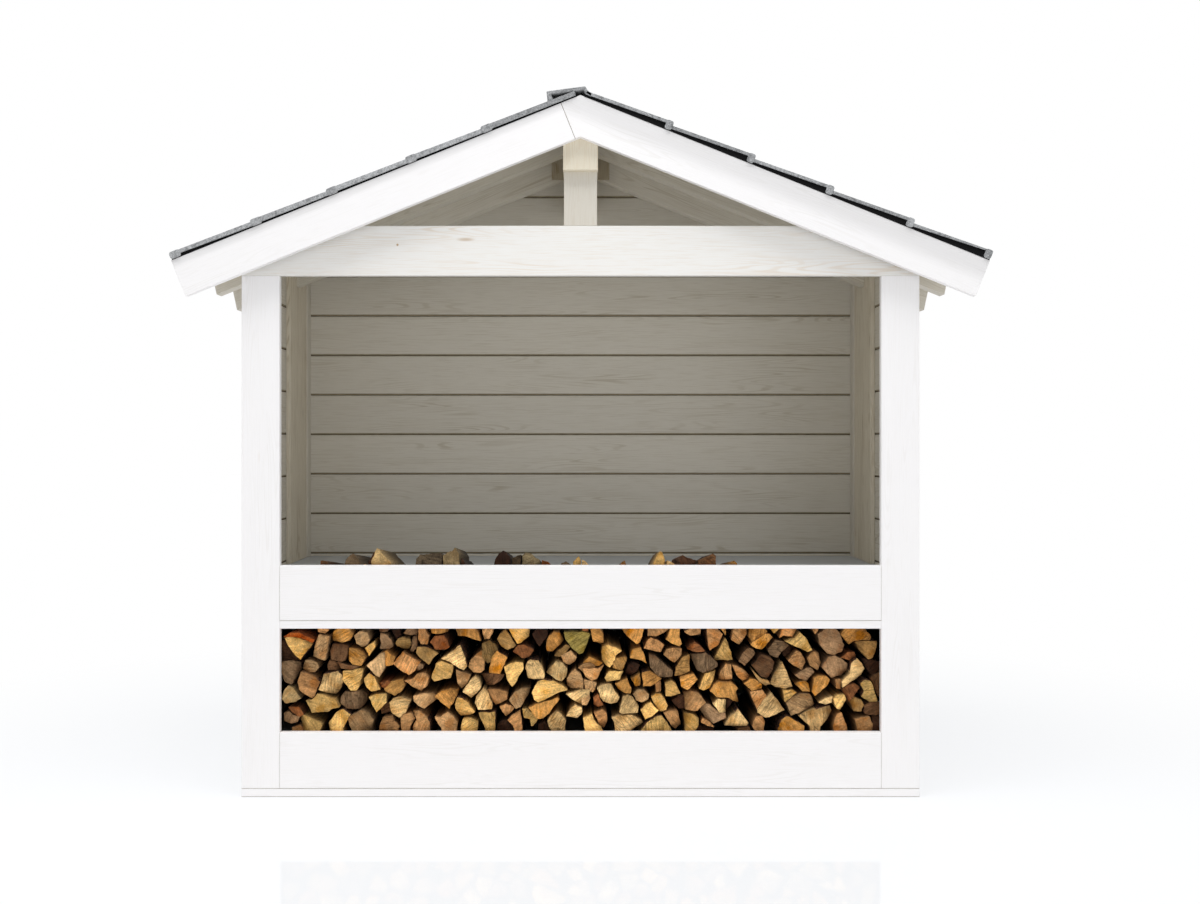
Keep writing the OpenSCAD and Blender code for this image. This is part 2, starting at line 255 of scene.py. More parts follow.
def spruce(name, face, flame, knot, run, roughness, strength, tone=0.0, spot=None, damp=None):
    """Planed spruce under a coat. strength is how much of the figure the coat lets through, tone
    how much whole boards differ, spot a knot at one known place, and the last argument a band
    of painted shadow under the shingles' edge: roof side, where it starts and ends in mm, and
    how much darker it is."""
    material, tree, shader = new_material(name, Roughness=roughness, IOR=1.46)
    shader.inputs["Specular IOR Level"].default_value = 0.3
    place = add(tree, "ShaderNodeTexCoord")
    island = add(tree, "ShaderNodeNewGeometry").outputs["Random Per Island"]
    own = add(tree, "ShaderNodeObjectInfo").outputs["Random"]
    pick = add(tree, "ShaderNodeMath", {0: island, 1: own}, operation="ADD").outputs[0]
    shift = add(tree, "ShaderNodeVectorMath", {0: (7.3, 5.1, 3.7), "Scale": pick},
                operation="SCALE")
    moved = add(tree, "ShaderNodeVectorMath", {0: place.outputs["Object"],
                1: shift.outputs[0]}, operation="ADD").outputs[0]
    turn = [math.radians(a) for a in run]

    def figure(length, width, **settings):
        """Noise stretched along the fibres to a real length and width in millimetres."""
        at = add(tree, "ShaderNodeMapping", {"Vector": moved, "Rotation": turn,
                 "Scale": (length * MM, width * MM, width * MM)}, vector_type="TEXTURE")
        return add(tree, "ShaderNodeTexNoise", {"Vector": at.outputs[0], "Scale": 1.0,
                   **settings}).outputs["Fac"]

    fibres = figure(70, 1.8, Detail=3.0, Roughness=0.6)
    rings = add(tree, "ShaderNodeMath", {0: figure(760, 44, Detail=1.5), 1: RING_LINES},
                operation="MULTIPLY")
    wave = add(tree, "ShaderNodeMath", {0: rings.outputs[0]}, operation="SINE")
    late = add(tree, "ShaderNodeMapRange", {"Value": wave.outputs[0], "From Min": 0.1,
               "From Max": 1.0, "To Min": 0.0, "To Max": 1.0}, interpolation_type="SMOOTHSTEP")
    patches = add(tree, "ShaderNodeMapRange", {"Value": figure(330, 46, Detail=2.0),
                  "From Min": 0.46, "From Max": 0.70, "To Min": 0.08}).outputs[0]
    amount = add(tree, "ShaderNodeMath", {0: late.outputs[0], 1: fibres}, operation="MULTIPLY")
    amount = add(tree, "ShaderNodeMath", {0: amount.outputs[0], 1: patches},
                 operation="MULTIPLY")
    amount = add(tree, "ShaderNodeMath", {0: amount.outputs[0], 1: 1.7 * strength},
                 operation="MULTIPLY", use_clamp=True)
    streak = add(tree, "ShaderNodeMapRange", {"Value": fibres, "From Min": 0.5,
                 "From Max": 0.80, "To Min": 0.0, "To Max": 0.9 * strength})
    shown = add(tree, "ShaderNodeMath", {0: amount.outputs[0], 1: streak.outputs[0]},
                operation="MAXIMUM")
    coat = add(tree, "ShaderNodeMix", {0: shown.outputs[0], 6: colour(face),
               7: colour(flame)}, data_type="RGBA")
    # Knots: one random point in each cell of 380 x 80 mm, of which only some are kept
    cells = add(tree, "ShaderNodeMapping", {"Vector": moved, "Rotation": turn,
                "Scale": (380 * MM, 80 * MM, 80 * MM)}, vector_type="TEXTURE")
    grid = add(tree, "ShaderNodeTexVoronoi", {"Vector": cells.outputs[0], "Scale": 1.0})
    near = add(tree, "ShaderNodeMapRange", {"Value": grid.outputs["Distance"],
               "From Min": 0.02, "From Max": 0.075, "To Min": 1.0, "To Max": 0.0},
               interpolation_type="SMOOTHSTEP")
    rare = add(tree, "ShaderNodeMath", {0: grid.outputs["Color"], 1: 0.62},
               operation="GREATER_THAN")
    knots = add(tree, "ShaderNodeMath", {0: near.outputs[0], 1: rare.outputs[0]},
                operation="MULTIPLY")
    mark = add(tree, "ShaderNodeMath", {0: knots.outputs[0], 1: min(1.0, 1.3 * strength)},
               operation="MULTIPLY").outputs[0]
    if spot:
        away = add(tree, "ShaderNodeVectorMath", {0: place.outputs["Object"], 1: spot},
                   operation="DISTANCE")
        dot = add(tree, "ShaderNodeMapRange", {"Value": away.outputs["Value"],
                  "From Min": 1.5 * MM, "From Max": 3.6 * MM, "To Min": 1.0, "To Max": 0.0})
        mark = add(tree, "ShaderNodeMath", {0: mark, 1: dot.outputs[0]},
                   operation="MAXIMUM").outputs[0]
    knotted = add(tree, "ShaderNodeMix", {0: mark, 6: coat.outputs[2], 7: colour(knot)},
                  data_type="RGBA")
    level = add(tree, "ShaderNodeMapRange", {"Value": island, "To Min": 1.0 - tone,
                "To Max": 1.0 + tone})
    # A band of painted shadow, darker towards the shingles' edge, measured square off the roof
    # side
    if damp:
        side, start, end, grey = damp
        square = add(tree, "ShaderNodeVectorMath", {0: place.outputs["Object"],
                     1: (side * SIN, 0, COS)}, operation="DOT_PRODUCT").outputs["Value"]
        band = add(tree, "ShaderNodeMapRange", {"Value": square, "To Min": 1.0,
                   "From Min": RIDGE * COS - end * MM, "From Max": RIDGE * COS - start * MM,
                   "To Max": 1.0 - grey}, interpolation_type="SMOOTHSTEP").outputs[0]
        level = add(tree, "ShaderNodeMath", {0: level.outputs[0], 1: band},
                    operation="MULTIPLY")
    toned = add(tree, "ShaderNodeHueSaturation", {"Color": knotted.outputs[2],
                "Value": level.outputs[0]})
    tree.links.new(toned.outputs[0], shader.inputs["Base Color"])
    relief = add(tree, "ShaderNodeMath", {0: fibres, 1: amount.outputs[0]}, operation="SUBTRACT")
    bump = add(tree, "ShaderNodeBump", {"Height": relief.outputs[0], "Strength": 0.5,
               "Distance": 0.5 * MM})
    tree.links.new(bump.outputs[0], shader.inputs["Normal"])
    return material


def white_paint(way, run, **more):
    # White alkyd paint on planed spruce: satin and neutral, with the grain showing through
    return spruce("white_painted_spruce_" + way, "#fbfafb", "#e2dfda", "#d8cbb6", run, 0.45,
                  0.26, **more)


def cream_glaze(way, run, **more):
    # Cream-white glaze on planed spruce: matt, and thin enough for the figure to show
    return spruce("cream_glazed_spruce_" + way, "#dbd6ca", "#a99c82", "#74603f", run, 0.6,
                  0.52, **more)


PAINT_X = white_paint("level", ALONG_X)
PAINT_Y = white_paint("fore_and_aft", ALONG_Y)
PAINT_Z = white_paint("upright", ALONG_Z)
# Painted shadow of the shingles' edge on the barge boards, wider on the right than the left
PAINT_RIGHT = white_paint("down_right", DOWN_RIGHT, damp=(1, 8, 52, 0.16))
PAINT_LEFT = white_paint("down_left", DOWN_LEFT, damp=(-1, -8, 8, 0.12))
GLAZE_X = cream_glaze("level", ALONG_X, tone=0.03)
GLAZE_Y = cream_glaze("fore_and_aft", ALONG_Y, tone=0.03)
GLAZE_Z = cream_glaze("upright", ALONG_Z)
GLAZE_RIGHT = cream_glaze("down_right", DOWN_RIGHT)
GLAZE_LEFT = cream_glaze("down_left", DOWN_LEFT)
# The collar has one thin coat of paint, so the wood warms it, with one small dark knot
COLLAR = spruce("thinly_painted_collar", "#f4f3f0", "#d9c3a6", "#b99b74", ALONG_X, 0.45,
                0.46, spot=(-0.432, front_y, 1.303))
# King post and beam end: one thin coat of glaze over short upright grain
POST = spruce("thinly_glazed_post", "#dad5ca", "#c3b59f", "#a5784c", ALONG_Z, 0.5, 0.45)
BEAM = spruce("thinly_glazed_beam", "#e8e0cd", "#c7ac7c", "#96703e", ALONG_Z, 0.6, 0.7)
# Corner lining: the same glaze as the walls on coarser wood, with long brown fibres
LINING = spruce("cream_glazed_lining", "#e2dac8", "#9c8660", "#6f5636", ALONG_Z, 0.6, 0.75)
# Sawn timber of the ridge plate, darker because it was left without glaze
SAWN = spruce("sawn_spruce_plate", "#b5aa94", "#8d7a5b", "#6f5636", ALONG_Z, 0.7, 0.7)


def dusty(name, dark, light, roughness):
    """A matt finish of narrow strips and chamfers, cloudy with dust at 20 mm."""
    material, tree, shader = new_material(name, Roughness=roughness, IOR=1.46)
    cloud = add(tree, "ShaderNodeTexNoise", {"Scale": 1 / (20 * MM), "Detail": 3.0,
                "Vector": add(tree, "ShaderNodeTexCoord").outputs["Object"]})
    tint = add(tree, "ShaderNodeMix", {0: cloud.outputs["Fac"], 6: colour(dark),
               7: colour(light)}, data_type="RGBA")
    tree.links.new(tint.outputs[2], shader.inputs["Base Color"])
    return material


# The bare wood inside a joint, grey-brown with dust
JOINT = dusty("dusty_spruce_joint", "#5c4d39", "#7a684f", 0.9)
# Chamfers of the boards: the lower one of each joint is darker as painted shade, the upper
# one lighter as a painted highlight
SHADED_CHAMFER = dusty("glazed_chamfer_painted_shade", "#938870", "#b3a890", 0.8)
LIT_CHAMFER = dusty("glazed_chamfer_painted_highlight", "#ddd8cb", "#efeadf", 0.5)
# Dust in a crack of white paint: matt warm grey, lighter than bare wood. The same strips also
# draw a painted shadow at the foot of the base board
CRACK_AND_SHADOW = dusty("dusty_crack_and_painted_shadow", "#989287", "#b8b2a7", 0.9)
# Smooth board panels, laid in the floor and the shelf, in a cool blue-grey
PANEL = spruce("cool_grey_panel", "#cbd0d6", "#b1b4b5", "#8c8a86", ALONG_X, 0.5, 0.4)
print("timber finishes:", len([m for m in bpy.data.materials if "spruce" in m.name]))

# %% [markdown]
# ## Boards that keep the frame's shape
# A planed board is never razor sharp: the edges are broken with sandpaper, and this thin
# rounded edge catches the light and shows where one board ends and the next starts. The
# frame's meshes aren't touched; a Weld and a Bevel modifier on top of each do it, and two
# steps are enough for an arris this small: 1.5 mm, and 0.8 mm on the barge boards.

# %% Finishes and rounded edges of the frame's boards
FINISHES = {
    "kick_board": PAINT_X, "base_board": PAINT_X, "shelf_fascia": PAINT_X,
    "shelf_board": PAINT_X, "front_trim_left": PAINT_Z, "front_trim_right": PAINT_Z,
    "barge_front_left": PAINT_LEFT, "barge_front_right": PAINT_RIGHT,
    "barge_rear_left": PAINT_LEFT, "barge_rear_right": PAINT_RIGHT,
    "collar_board": COLLAR, "king_post": POST, "ridge_beam": BEAM, "ridge_plate": SAWN,
    "front_stud_left": GLAZE_Z, "front_stud_right": GLAZE_Z, "corner_lining_left": LINING,
    "corner_lining_right": LINING, "floor_ledgers": GLAZE_X, "shelf_ledgers": GLAZE_X,
    "floor_panel": PANEL, "shelf_panel": PANEL,
}
for name in nodes:
    if "rafter" in name:
        FINISHES[name] = GLAZE_LEFT if name.endswith("left") else GLAZE_RIGHT


def round_edges(obj, width, steps=2):
    """Breaks the sharp edges of a board by width millimetres, without touching its mesh."""
    weld = obj.modifiers.new("weld", "WELD")
    weld.merge_threshold = 0.01 * MM
    bevel = obj.modifiers.new("arris", "BEVEL")
    bevel.width, bevel.segments = width * MM, steps
    bevel.limit_method, bevel.angle_limit = "ANGLE", math.radians(20)
    bevel.harden_normals = True


ARRIS, BARGE_ARRIS = 1.5, 0.8
for name, material in FINISHES.items():
    board = nodes[name]
    board.data.materials.clear()
    board.data.materials.append(material)
    round_edges(board, BARGE_ARRIS if name.startswith("barge") else ARRIS)
print("boards finished:", len(FINISHES))

# %% [markdown]
# ## Joints under the paint
# Where two painted boards meet, the paint has cracked along the joint and the crack is
# grey with dust. From the camera it is a hair line, so a flat strip on the face of the
# boards is enough: 1 mm wide along the level joints and half of that at the upright ones.
# One more such strip, just above the foot of the base board, is painted shadow where the
# store stands on the floor.

# %% Joints of the front boards
def hair_line(x0, x1, z0, z1):
    """The corners of a flat strip just in front of the boards."""
    y = front_y - 0.1 * MM
    return [(x0, y, z0), (x1, y, z0), (x1, y, z1), (x0, y, z1)]


fascia_low, fascia_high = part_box("shelf_fascia")
kick_low, kick_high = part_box("kick_board")
foot_low, foot_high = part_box("base_board")
edge = 0.5 * MM
lines = [hair_line(low.x, high.x, z - edge, z + edge)
         for low, high, z in ((fascia_low, fascia_high, fascia_low.z),
                              (foot_low, foot_high, foot_high.z),
                              # The last strip is no joint but painted shadow at the foot of the
                              # base board, on the floor
                              (foot_low, foot_high, foot_low.z + 1.5 * edge))]
for x in (fascia_low.x, fascia_high.x):
    for low, high in (fascia_low, fascia_high), (kick_low, kick_high):
        lines.append(hair_line(x - 0.5 * edge, x + 0.5 * edge, low.z, high.z))
cracks_and_shadow = bpy.data.meshes.new("paint_cracks")
cracks_and_shadow.from_pydata([p for line in lines for p in line], [],
                   [tuple(range(4 * k, 4 * k + 4)) for k in range(len(lines))])
cracks_and_shadow.materials.append(CRACK_AND_SHADOW)
piece = bpy.data.objects.new("paint_cracks", cracks_and_shadow)
scene.collection.objects.link(piece)
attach(piece, "root")
print("joints drawn:", len(lines))

# %% [markdown]
# ## Wall boarding with V-joints
# The walls aren't one slab but tongue-and-groove boards with a cover width of 112.5 mm.
# Each board's long edges are chamfered, and the two chamfers form a V, with a narrow slot
# at its bottom where the boards meet. The slot is what draws the dark line.
#
# A Bevel modifier on a slab can't give that, and a bump texture would stay flat in the
# outline, so each board is made as a profile that runs along the board. The ends of every
# profile point are worked out one by one, which lets the same code cut the gable to the
# slope of the roof.


# %% Boards from a profile
def new_piece(name, points, faces, materials, picks=None, slot=None, stands_for=()):
    """A mesh that rides on the store, with its normals turned outwards."""
    mesh = bpy.data.meshes.new(name)
    mesh.from_pydata(points, [], faces)
    for material in materials:
        mesh.materials.append(material)
    if picks:
        mesh.polygons.foreach_set("material_index", picks)
    work = bmesh.new()
    work.from_mesh(mesh)
    bmesh.ops.recalc_face_normals(work, faces=work.faces)
    work.to_mesh(mesh)
    work.free()
    piece = bpy.data.objects.new(name, mesh)
    scene.collection.objects.link(piece)
    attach(piece, "root")
    if stands_for:
        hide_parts(*stands_for)
    return piece


def prism_faces(first, n):
    """Faces of a solid between two outlines of n points, of which the first is numbered."""
    return [(first + i, first + (i + 1) % n, first + n + (i + 1) % n, first + n + i)
            for i in range(n)] + [tuple(range(first, first + n)),
                                  tuple(range(first + n, first + 2 * n))]


# Faces of a box: its two ends, four points each, and the sides between them
BOX_FACES = [(0, 1, 2, 3), (4, 5, 6, 7), (0, 1, 5, 4), (1, 2, 6, 5), (2, 3, 7, 6),
             (3, 0, 4, 7)]
# Half of the slot between two boards, and the chamfers of a board's lower and upper edge
HALF_SLOT, LOWER_CHAMFER, UPPER_CHAMFER = 1.1 * MM, 3.4 * MM, 2.4 * MM


def vee_profile(low, high, thick):
    """Outline of one board: (across, through) pairs, with a tongue on its high edge."""
    s, v, w = HALF_SLOT, LOWER_CHAMFER, UPPER_CHAMFER
    t0, t1 = 0.36 * thick, 0.62 * thick
    return [(low + s + v, 0), (low + s, v), (low + s, thick - w), (low + s + w, thick),
            (high - s - w, thick), (high - s, thick - w), (high - s, t1),
            (high + s, t1), (high + s, t0), (high - s, t0), (high - s, w),
            (high - s - w, 0)]


# Which finish each face of the outline has: 0 inside, 1 outside, 2 bare wood in the joint,
# 3 the lower chamfer, darker as painted shade, 4 the upper one, lighter as a painted highlight
EDGE_PICKS = (3, 2, 1, 1, 1, 2, 2, 2, 2, 2, 4, 0)


def boarding(name, joints, thick, place, span, inner, outer, **more):
    """Boards between the joints. place(along, across, through) gives a point in the room,
    span(across, through) the two ends of the board's line there."""
    points, faces, picks = [], [], []
    for low, high in zip(joints[:-1], joints[1:]):
        outline = vee_profile(low, high, thick)
        faces += prism_faces(len(points), len(outline))
        for end in (0, 1):
            points += [place(span(a, t)[end], a, t) for a, t in outline]
        picks += list(EDGE_PICKS) + [1, 1]
    return new_piece(name, points, faces, [inner, outer, JOINT, SHADED_CHAMFER, LIT_CHAMFER], picks, **more)


# %% Back wall and side walls
COVER, FIRST_JOINT = 112.5 * MM, 70.5 * MM
heights = [wall_low.z] + [FIRST_JOINT + COVER * k for k in range(14)]
heights = [z for z in heights if z < wall_high.z - 60 * MM] + [wall_high.z - 1 * MM]
wall_t = wall_high.y - wall_low.y


def gable_span(z, through):
    """A line of the back wall ends at its corners or, higher up, at the slope of the roof."""
    reach = min(wall_high.x, max(0.0, (RIDGE - z) / TAN))
    return -reach, reach


boarding("back_wall_boards", heights, wall_t, lambda x, z, t: (x, wall_low.y + t, z),
         gable_span, GLAZE_X, PAINT_X, slot="grey_wall_boards", stands_for=["back_wall"])
print("boards of the back wall:", len(heights) - 1)

side_t = side_high.x - side_low.x
heights = [side_low.z] + [FIRST_JOINT + COVER * k for k in range(11)] + [side_high.z]
for side, label in ((-1, "left"), (1, "right")):
    boarding("side_wall_boards_" + label, heights, side_t,
             lambda y, z, t: (side * (side_low.x + t),
                              y, min(z, side_high.z - t * TAN)),
             lambda z, t: (side_low.y, side_high.y), GLAZE_Y, PAINT_Y,
             slot="grey_wall_boards", stands_for=["side_wall_" + label])
print("boards of each side wall:", len(heights) - 1)

# Cover strip in each rear corner, over the joint of lining and back wall
STRIP_WIDTH, STRIP_FACE, STRIP_BACK = 46 * MM, 3 * MM, 1 * MM
for side, label in ((-1, "left"), (1, "right")):
    (x0, _, z0), (x1, y1, z1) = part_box("corner_lining_" + label)
    face = min(abs(x0), abs(x1))
    corners = [(side * x, y, z) for z in (z0, z1 - 6 * MM)
               for x, y in ((face + STRIP_BACK, y1 - STRIP_WIDTH),
                            (face - STRIP_FACE, y1 - STRIP_WIDTH),
                            (face - STRIP_FACE, y1), (face + STRIP_BACK, y1))]
    strip = new_piece("corner_strip_" + label, corners, BOX_FACES, [GLAZE_Z],
                      slot="grey_wall_boards")
    round_edges(strip, 1.0)


# %% [markdown]
# ## Roof boards
# The roof boards run from gable to gable. Seen from below they show the same V-joints as
# the walls. At the ridge, where the two sides meet, they are cut plumb.


# %% Roof boards
def on_roof(side, u, v, y):
    """A point of one roof side: u down the slope from the ridge, v square off the boards."""
    return (side * (u * COS + v * SIN), y, RIDGE - u * SIN + v * COS)


FIRST_ROOF_JOINT, ROOF_COVER = 125.5 * MM, 100 * MM
joints = [-DECK_T * TAN] + [FIRST_ROOF_JOINT + ROOF_COVER * k for k in range(9)] + [SLOPE_LEN]
for side, label in ((-1, "left"), (1, "right")):
    boarding("roof_boards_" + label, joints, DECK_T,
             lambda y, u, v: on_roof(side, max(u, -v * TAN), v, y),
             lambda u, v: (deck_low.y, deck_high.y), GLAZE_Y, GLAZE_Y,
             slot="roof_timbers", stands_for=["roof_deck_" + label])
print("roof boards:", 2 * (len(joints) - 1))

# %% [markdown]
# ## Felt shingles
# Bitumen shingles are glass felt soaked in bitumen and pressed full of crushed slate. They
# come as strips cut into tabs, laid from the eaves up, each course half a tab aside from
# the one below. Their cut edge is the giveaway: a thick pale line of granules with a black
# gap below it, dark with bitumen, underlay and shade.
#
# Each tab is a solid of its own, made from a cross-section down the slope with a rounded
# nose at the butt. A thinner strip below it shows through the slots. Under each course a
# black slab lies on the boards and fills the gap up to the course's underside: in part the
# bitumen underlay, in part painted shade for the dark of that gap.

# %% Shingle finishes
slate_felt, tree, shader = new_material("slate_granule_felt", Roughness=0.92, IOR=1.5)
# Crushed slate in bitumen: matt grey, speckled at 1 to 2 mm, darker where granules are lost
place = add(tree, "ShaderNodeTexCoord").outputs["Object"]
grains = add(tree, "ShaderNodeTexVoronoi", {"Vector": place, "Scale": 1 / (2.2 * MM)})
speck = add(tree, "ShaderNodeTexNoise", {"Vector": place, "Scale": 1 / (9 * MM), "Detail": 5.0})
cloud = add(tree, "ShaderNodeTexNoise", {"Vector": place, "Scale": 1 / (160 * MM),
            "Detail": 3.0})
grey = add(tree, "ShaderNodeMix", {0: grains.outputs["Color"], 6: colour("#7d7f81"),
           7: colour("#bcbec0")}, data_type="RGBA")
lost = add(tree, "ShaderNodeMapRange", {"Value": speck.outputs["Fac"], "From Min": 0.52,
           "From Max": 0.72, "To Min": 0.0, "To Max": 0.6})
worn = add(tree, "ShaderNodeMix", {0: lost.outputs[0], 6: grey.outputs[2],
           7: colour("#4b4c4e")}, data_type="RGBA")
island = add(tree, "ShaderNodeNewGeometry").outputs["Random Per Island"]
both = add(tree, "ShaderNodeMath", {0: island, 1: cloud.outputs["Fac"]}, operation="ADD")
level = add(tree, "ShaderNodeMapRange", {"Value": both.outputs[0], "From Min": 0.3,
            "From Max": 1.6, "To Min": 0.78, "To Max": 1.18})
toned = add(tree, "ShaderNodeHueSaturation", {"Color": worn.outputs[2],
            "Value": level.outputs[0]})
tree.links.new(toned.outputs[0], shader.inputs["Base Color"])
rough = add(tree, "ShaderNodeBump", {"Height": grains.outputs["Distance"], "Strength": 0.7,
            "Distance": 0.8 * MM})
tree.links.new(rough.outputs[0], shader.inputs["Normal"])

bitumen_and_gap_shade, tree, shader = new_material("bitumen_underlay_and_painted_gap_shade", Roughness=0.85, IOR=1.55)
shader.inputs["Specular IOR Level"].default_value = 0.15
# Bitumen felt: near black, with the faint cloudy sheen of a rolled sheet. It also fills the
# gap under each course, as painted shade
cloud = add(tree, "ShaderNodeTexNoise", {"Scale": 1 / (25 * MM), "Detail": 4.0,
            "Vector": add(tree, "ShaderNodeTexCoord").outputs["Object"]})
black = add(tree, "ShaderNodeMix", {0: cloud.outputs["Fac"], 6: colour("#030304"),
            7: colour("#0c0c0e")}, data_type="RGBA")
tree.links.new(black.outputs[2], shader.inputs["Base Color"])
print("shingle finishes:", slate_felt.name, bitumen_and_gap_shade.name)

# %% Courses of shingles
ROOF_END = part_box("shingles_right")[1].y
TAB, TAB_SLOT = 333 * MM, 6 * MM
# Where each course ends, in mm down the slope, from the eaves up to the ridge: the strips
# were nailed by eye, so the steps aren't all the same
BUTTS = {-1: (1020.5, 817.5, 626.5, 427.5, 238.5), 1: (1021, 825, 623, 425.5, 219.5)}


def swept(name, sections, materials, picks, **more):
    """Solids with a constant cross-section: each is (outline of points at y = 0, y0, y1)."""
    points, faces, chosen = [], [], []
    for (outline, y0, y1), pick in zip(sections, picks):
        faces += prism_faces(len(points), len(outline))
        points += [(p[0], y, p[2]) for y in (y0, y1) for p in outline]
        chosen += [pick] * (len(outline) + 2)
    return new_piece(name, points, faces, materials, chosen, **more)


def course_outline(side, top_u, butt_u, top_v, butt_v, low_top, low_butt):
    """Cross-section of a course: thin at its top, with a round nose at the butt."""
    outline = [on_roof(side, top_u, top_v, 0)]
    r = (butt_v - low_butt) / 2
    for step in range(7):
        a = math.radians(90 - 30 * step)
        outline.append(on_roof(side, butt_u - r + r * math.cos(a) * 0.9,
                               butt_v - r + r * math.sin(a), 0))
    return outline + [on_roof(side, top_u, low_top, 0)]


def hem_outline(side, butt_u, reach, top_v, low_v):
    """Cross-section of the thick rounded lip at the butt of a course."""
    r = min(5.0 * MM, (top_v - low_v) / 2, reach / 2)
    corners = ((butt_u - reach + r, top_v - r, 90), (butt_u - reach + r, low_v + r, 180),
               (butt_u - r, low_v + r, 270), (butt_u - r, top_v - r, 0))
    outline = []
    for u, v, start in corners:
        for step in range(4):
            a = math.radians(start + 30 * step)
            outline.append(on_roof(side, u + r * math.cos(a), v + r * math.sin(a), 0))
    return outline


# Heights square off the rafters in mm, before lift: the upper side of a course at its top
# and butt, its lower side at its top, at its butt, and at the butt on the eaves, where a
# starter strip lies below it; the underlay; and the lower side of the lip
TOP_UPPER, BUTT_UPPER, TOP_LOWER, BUTT_LOWER, EAVES_LOWER = 29, 33, 18.5, 20.5, 24
UNDERLAY, LIP_LOWER = 15.8, 17
# On the left the courses lie flat. On the right they were laid in the cold and stand up
# towards the butt, by lift in mm, with narrower lips turned down on the course below.
for side, label, lift, lip_width in ((-1, "left", 0.0, 26), (1, "right", 5.0, 17)):
    sections, picks = [], []
    ends = [u * MM for u in BUTTS[side]] + [4 * MM]
    for k, (butt, top) in enumerate(zip(ends[:-1], ends[1:])):
        high, low_top = (BUTT_UPPER + lift) * MM, (TOP_LOWER + 0.6 * lift) * MM
        low = ((BUTT_LOWER if k else EAVES_LOWER) + 2.1 * lift) * MM
        full = course_outline(side, top, butt, TOP_UPPER * MM, high, low_top, low)
        under = course_outline(side, top, butt - 9 * MM, (TOP_UPPER - 3) * MM,
                               high - 3.5 * MM, low_top, low)
        sections.append((under, -ROOF_END + 1.5 * MM, ROOF_END - 1.5 * MM))
        # Black slab from the underlay up to the course's underside: part underlay, part painted
        # shade of the gap
        felt_and_gap_shade = [on_roof(side, top - 1 * MM, UNDERLAY * MM, 0),
                on_roof(side, butt, UNDERLAY * MM, 0),
                on_roof(side, butt - 3 * MM, low + 0.5 * MM, 0),
                on_roof(side, top - 1 * MM, low_top + 0.5 * MM, 0)]
        sections.append((felt_and_gap_shade, -ROOF_END + 3 * MM, ROOF_END - 3 * MM))
        lip = hem_outline(side, butt + 0.4 * MM, lip_width * MM, high + 0.8 * MM,
                          LIP_LOWER * MM)
        picks += [0, 1]
        cut = -ROOF_END - (0.5 * TAB if k % 2 else 0.18 * TAB)
        while cut < ROOF_END:
            y0 = max(cut + TAB_SLOT / 2, -ROOF_END)
            y1 = min(cut + TAB - TAB_SLOT / 2, ROOF_END)
            if y1 - y0 > 20 * MM:
                sections += [(full, y0, y1), (lip, y0 - 0.4 * MM, y1 + 0.4 * MM)]
                picks += [0, 0]
            cut += TAB
    covering = swept("shingle_courses_" + label, sections, [slate_felt, bitumen_and_gap_shade], picks,
                     slot="felt_shingles", stands_for=["shingles_" + label])
    round_edges(covering, 1.2)
print("courses:", sum(len(ends) for ends in BUTTS.values()))

# %% [markdown]
# ## Joint of the barge boards
# The two front barge boards meet just left of the peak. Their joint is drawn the way it
# looks, as a dark slip 1 mm wide that stands 0.2 mm proud of the boards' faces.

# %% Joint of the barge boards
barge_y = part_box("barge_front_left")[0].y
corners = [on_roof(-1, u * MM, v * MM, y) for y in (barge_y - 0.2 * MM, barge_y + 1 * MM)
           for u, v in ((42.4, 15.8), (43.4, 15.8), (43.4, -73.8), (42.4, -73.8))]
joint = new_piece("barge_joint", corners, BOX_FACES, [JOINT], slot="roof_timbers")
print("joint of the barge boards:", joint.name)

# %% [markdown]
# ## Ridge caps
# The ridge is covered with short strips bent over it by hand, each lapping the next. They
# never sit quite true: here they lean to one side, and the left edge is folded down and
# stands clear of the shingles. The cross-section is a bent line with a thickness, swept
# for the length of each strip.


# %% Ridge caps
def bent_strip(line, thick):
    """Outline of a strip along a bent line of (x, z) points in millimetres."""
    line = [Vector((x, 0, z)) * MM for x, z in line]
    upper, lower = [], []
    for i, p in enumerate(line):
        before = (p - line[i - 1]).normalized() if i else None
        after = (line[i + 1] - p).normalized() if i < len(line) - 1 else None
        way = ((before or after) + (after or before)).normalized()
        out = Vector((-way.z, 0, way.x))
        grow = 1 / max(0.6, out.dot(Vector((-(after or before).z, 0, (after or before).x))))
        upper.append(tuple(p + out * thick * MM * grow / 2))
        lower.append(tuple(p - out * thick * MM * grow / 2))
    return upper + lower[::-1]


CAP_STEP, CAP_LENGTH, SHORTEST_CAP = 150 * MM, 152 * MM, 50 * MM
ridge_z = cad_high.z / MM
strips, cut, step = [], -ROOF_END, 0
while cut < ROOF_END - SHORTEST_CAP:
    lean = (0.0, 1.2, -0.8, 0.6, -0.4)[step % 5]
    drop = 2.2 * (step % 2)
    shape = [(-68, ridge_z - 35 + lean), (-74, ridge_z - 18.5 + lean - drop),
             (-31, ridge_z - 12.5 - drop), (9, ridge_z - 7.5 - lean - drop),
             (14, ridge_z - 16 - lean - drop), (26, ridge_z - 24 - drop)]
    strips.append((bent_strip(shape, 8.0), cut, min(cut + CAP_LENGTH, ROOF_END)))
    cut += CAP_STEP
    step += 1
caps = swept("ridge_caps", strips, [slate_felt], [0] * len(strips), slot="felt_shingles",
             stands_for=["ridge_cap"])
round_edges(caps, 1.2)
print("ridge caps:", len(strips))

# %% [markdown]
# ## Split logs
# Firewood is round wood split with an axe, so a log's end is a wedge, a block or a quarter
# of the trunk, and no two are alike. The stack could be poured in with a physics run, but
# a stack laid by hand shows one choice per log, and this is what gives it its rhythm. So
# each log is laid by its outline: a finish, how far its end stands back in millimetres,
# and its corners as x and height in millimetres.
#
# Fourteen finishes cover the range from fresh pale spruce over amber heartwood to wood that
# has greyed in the rain.

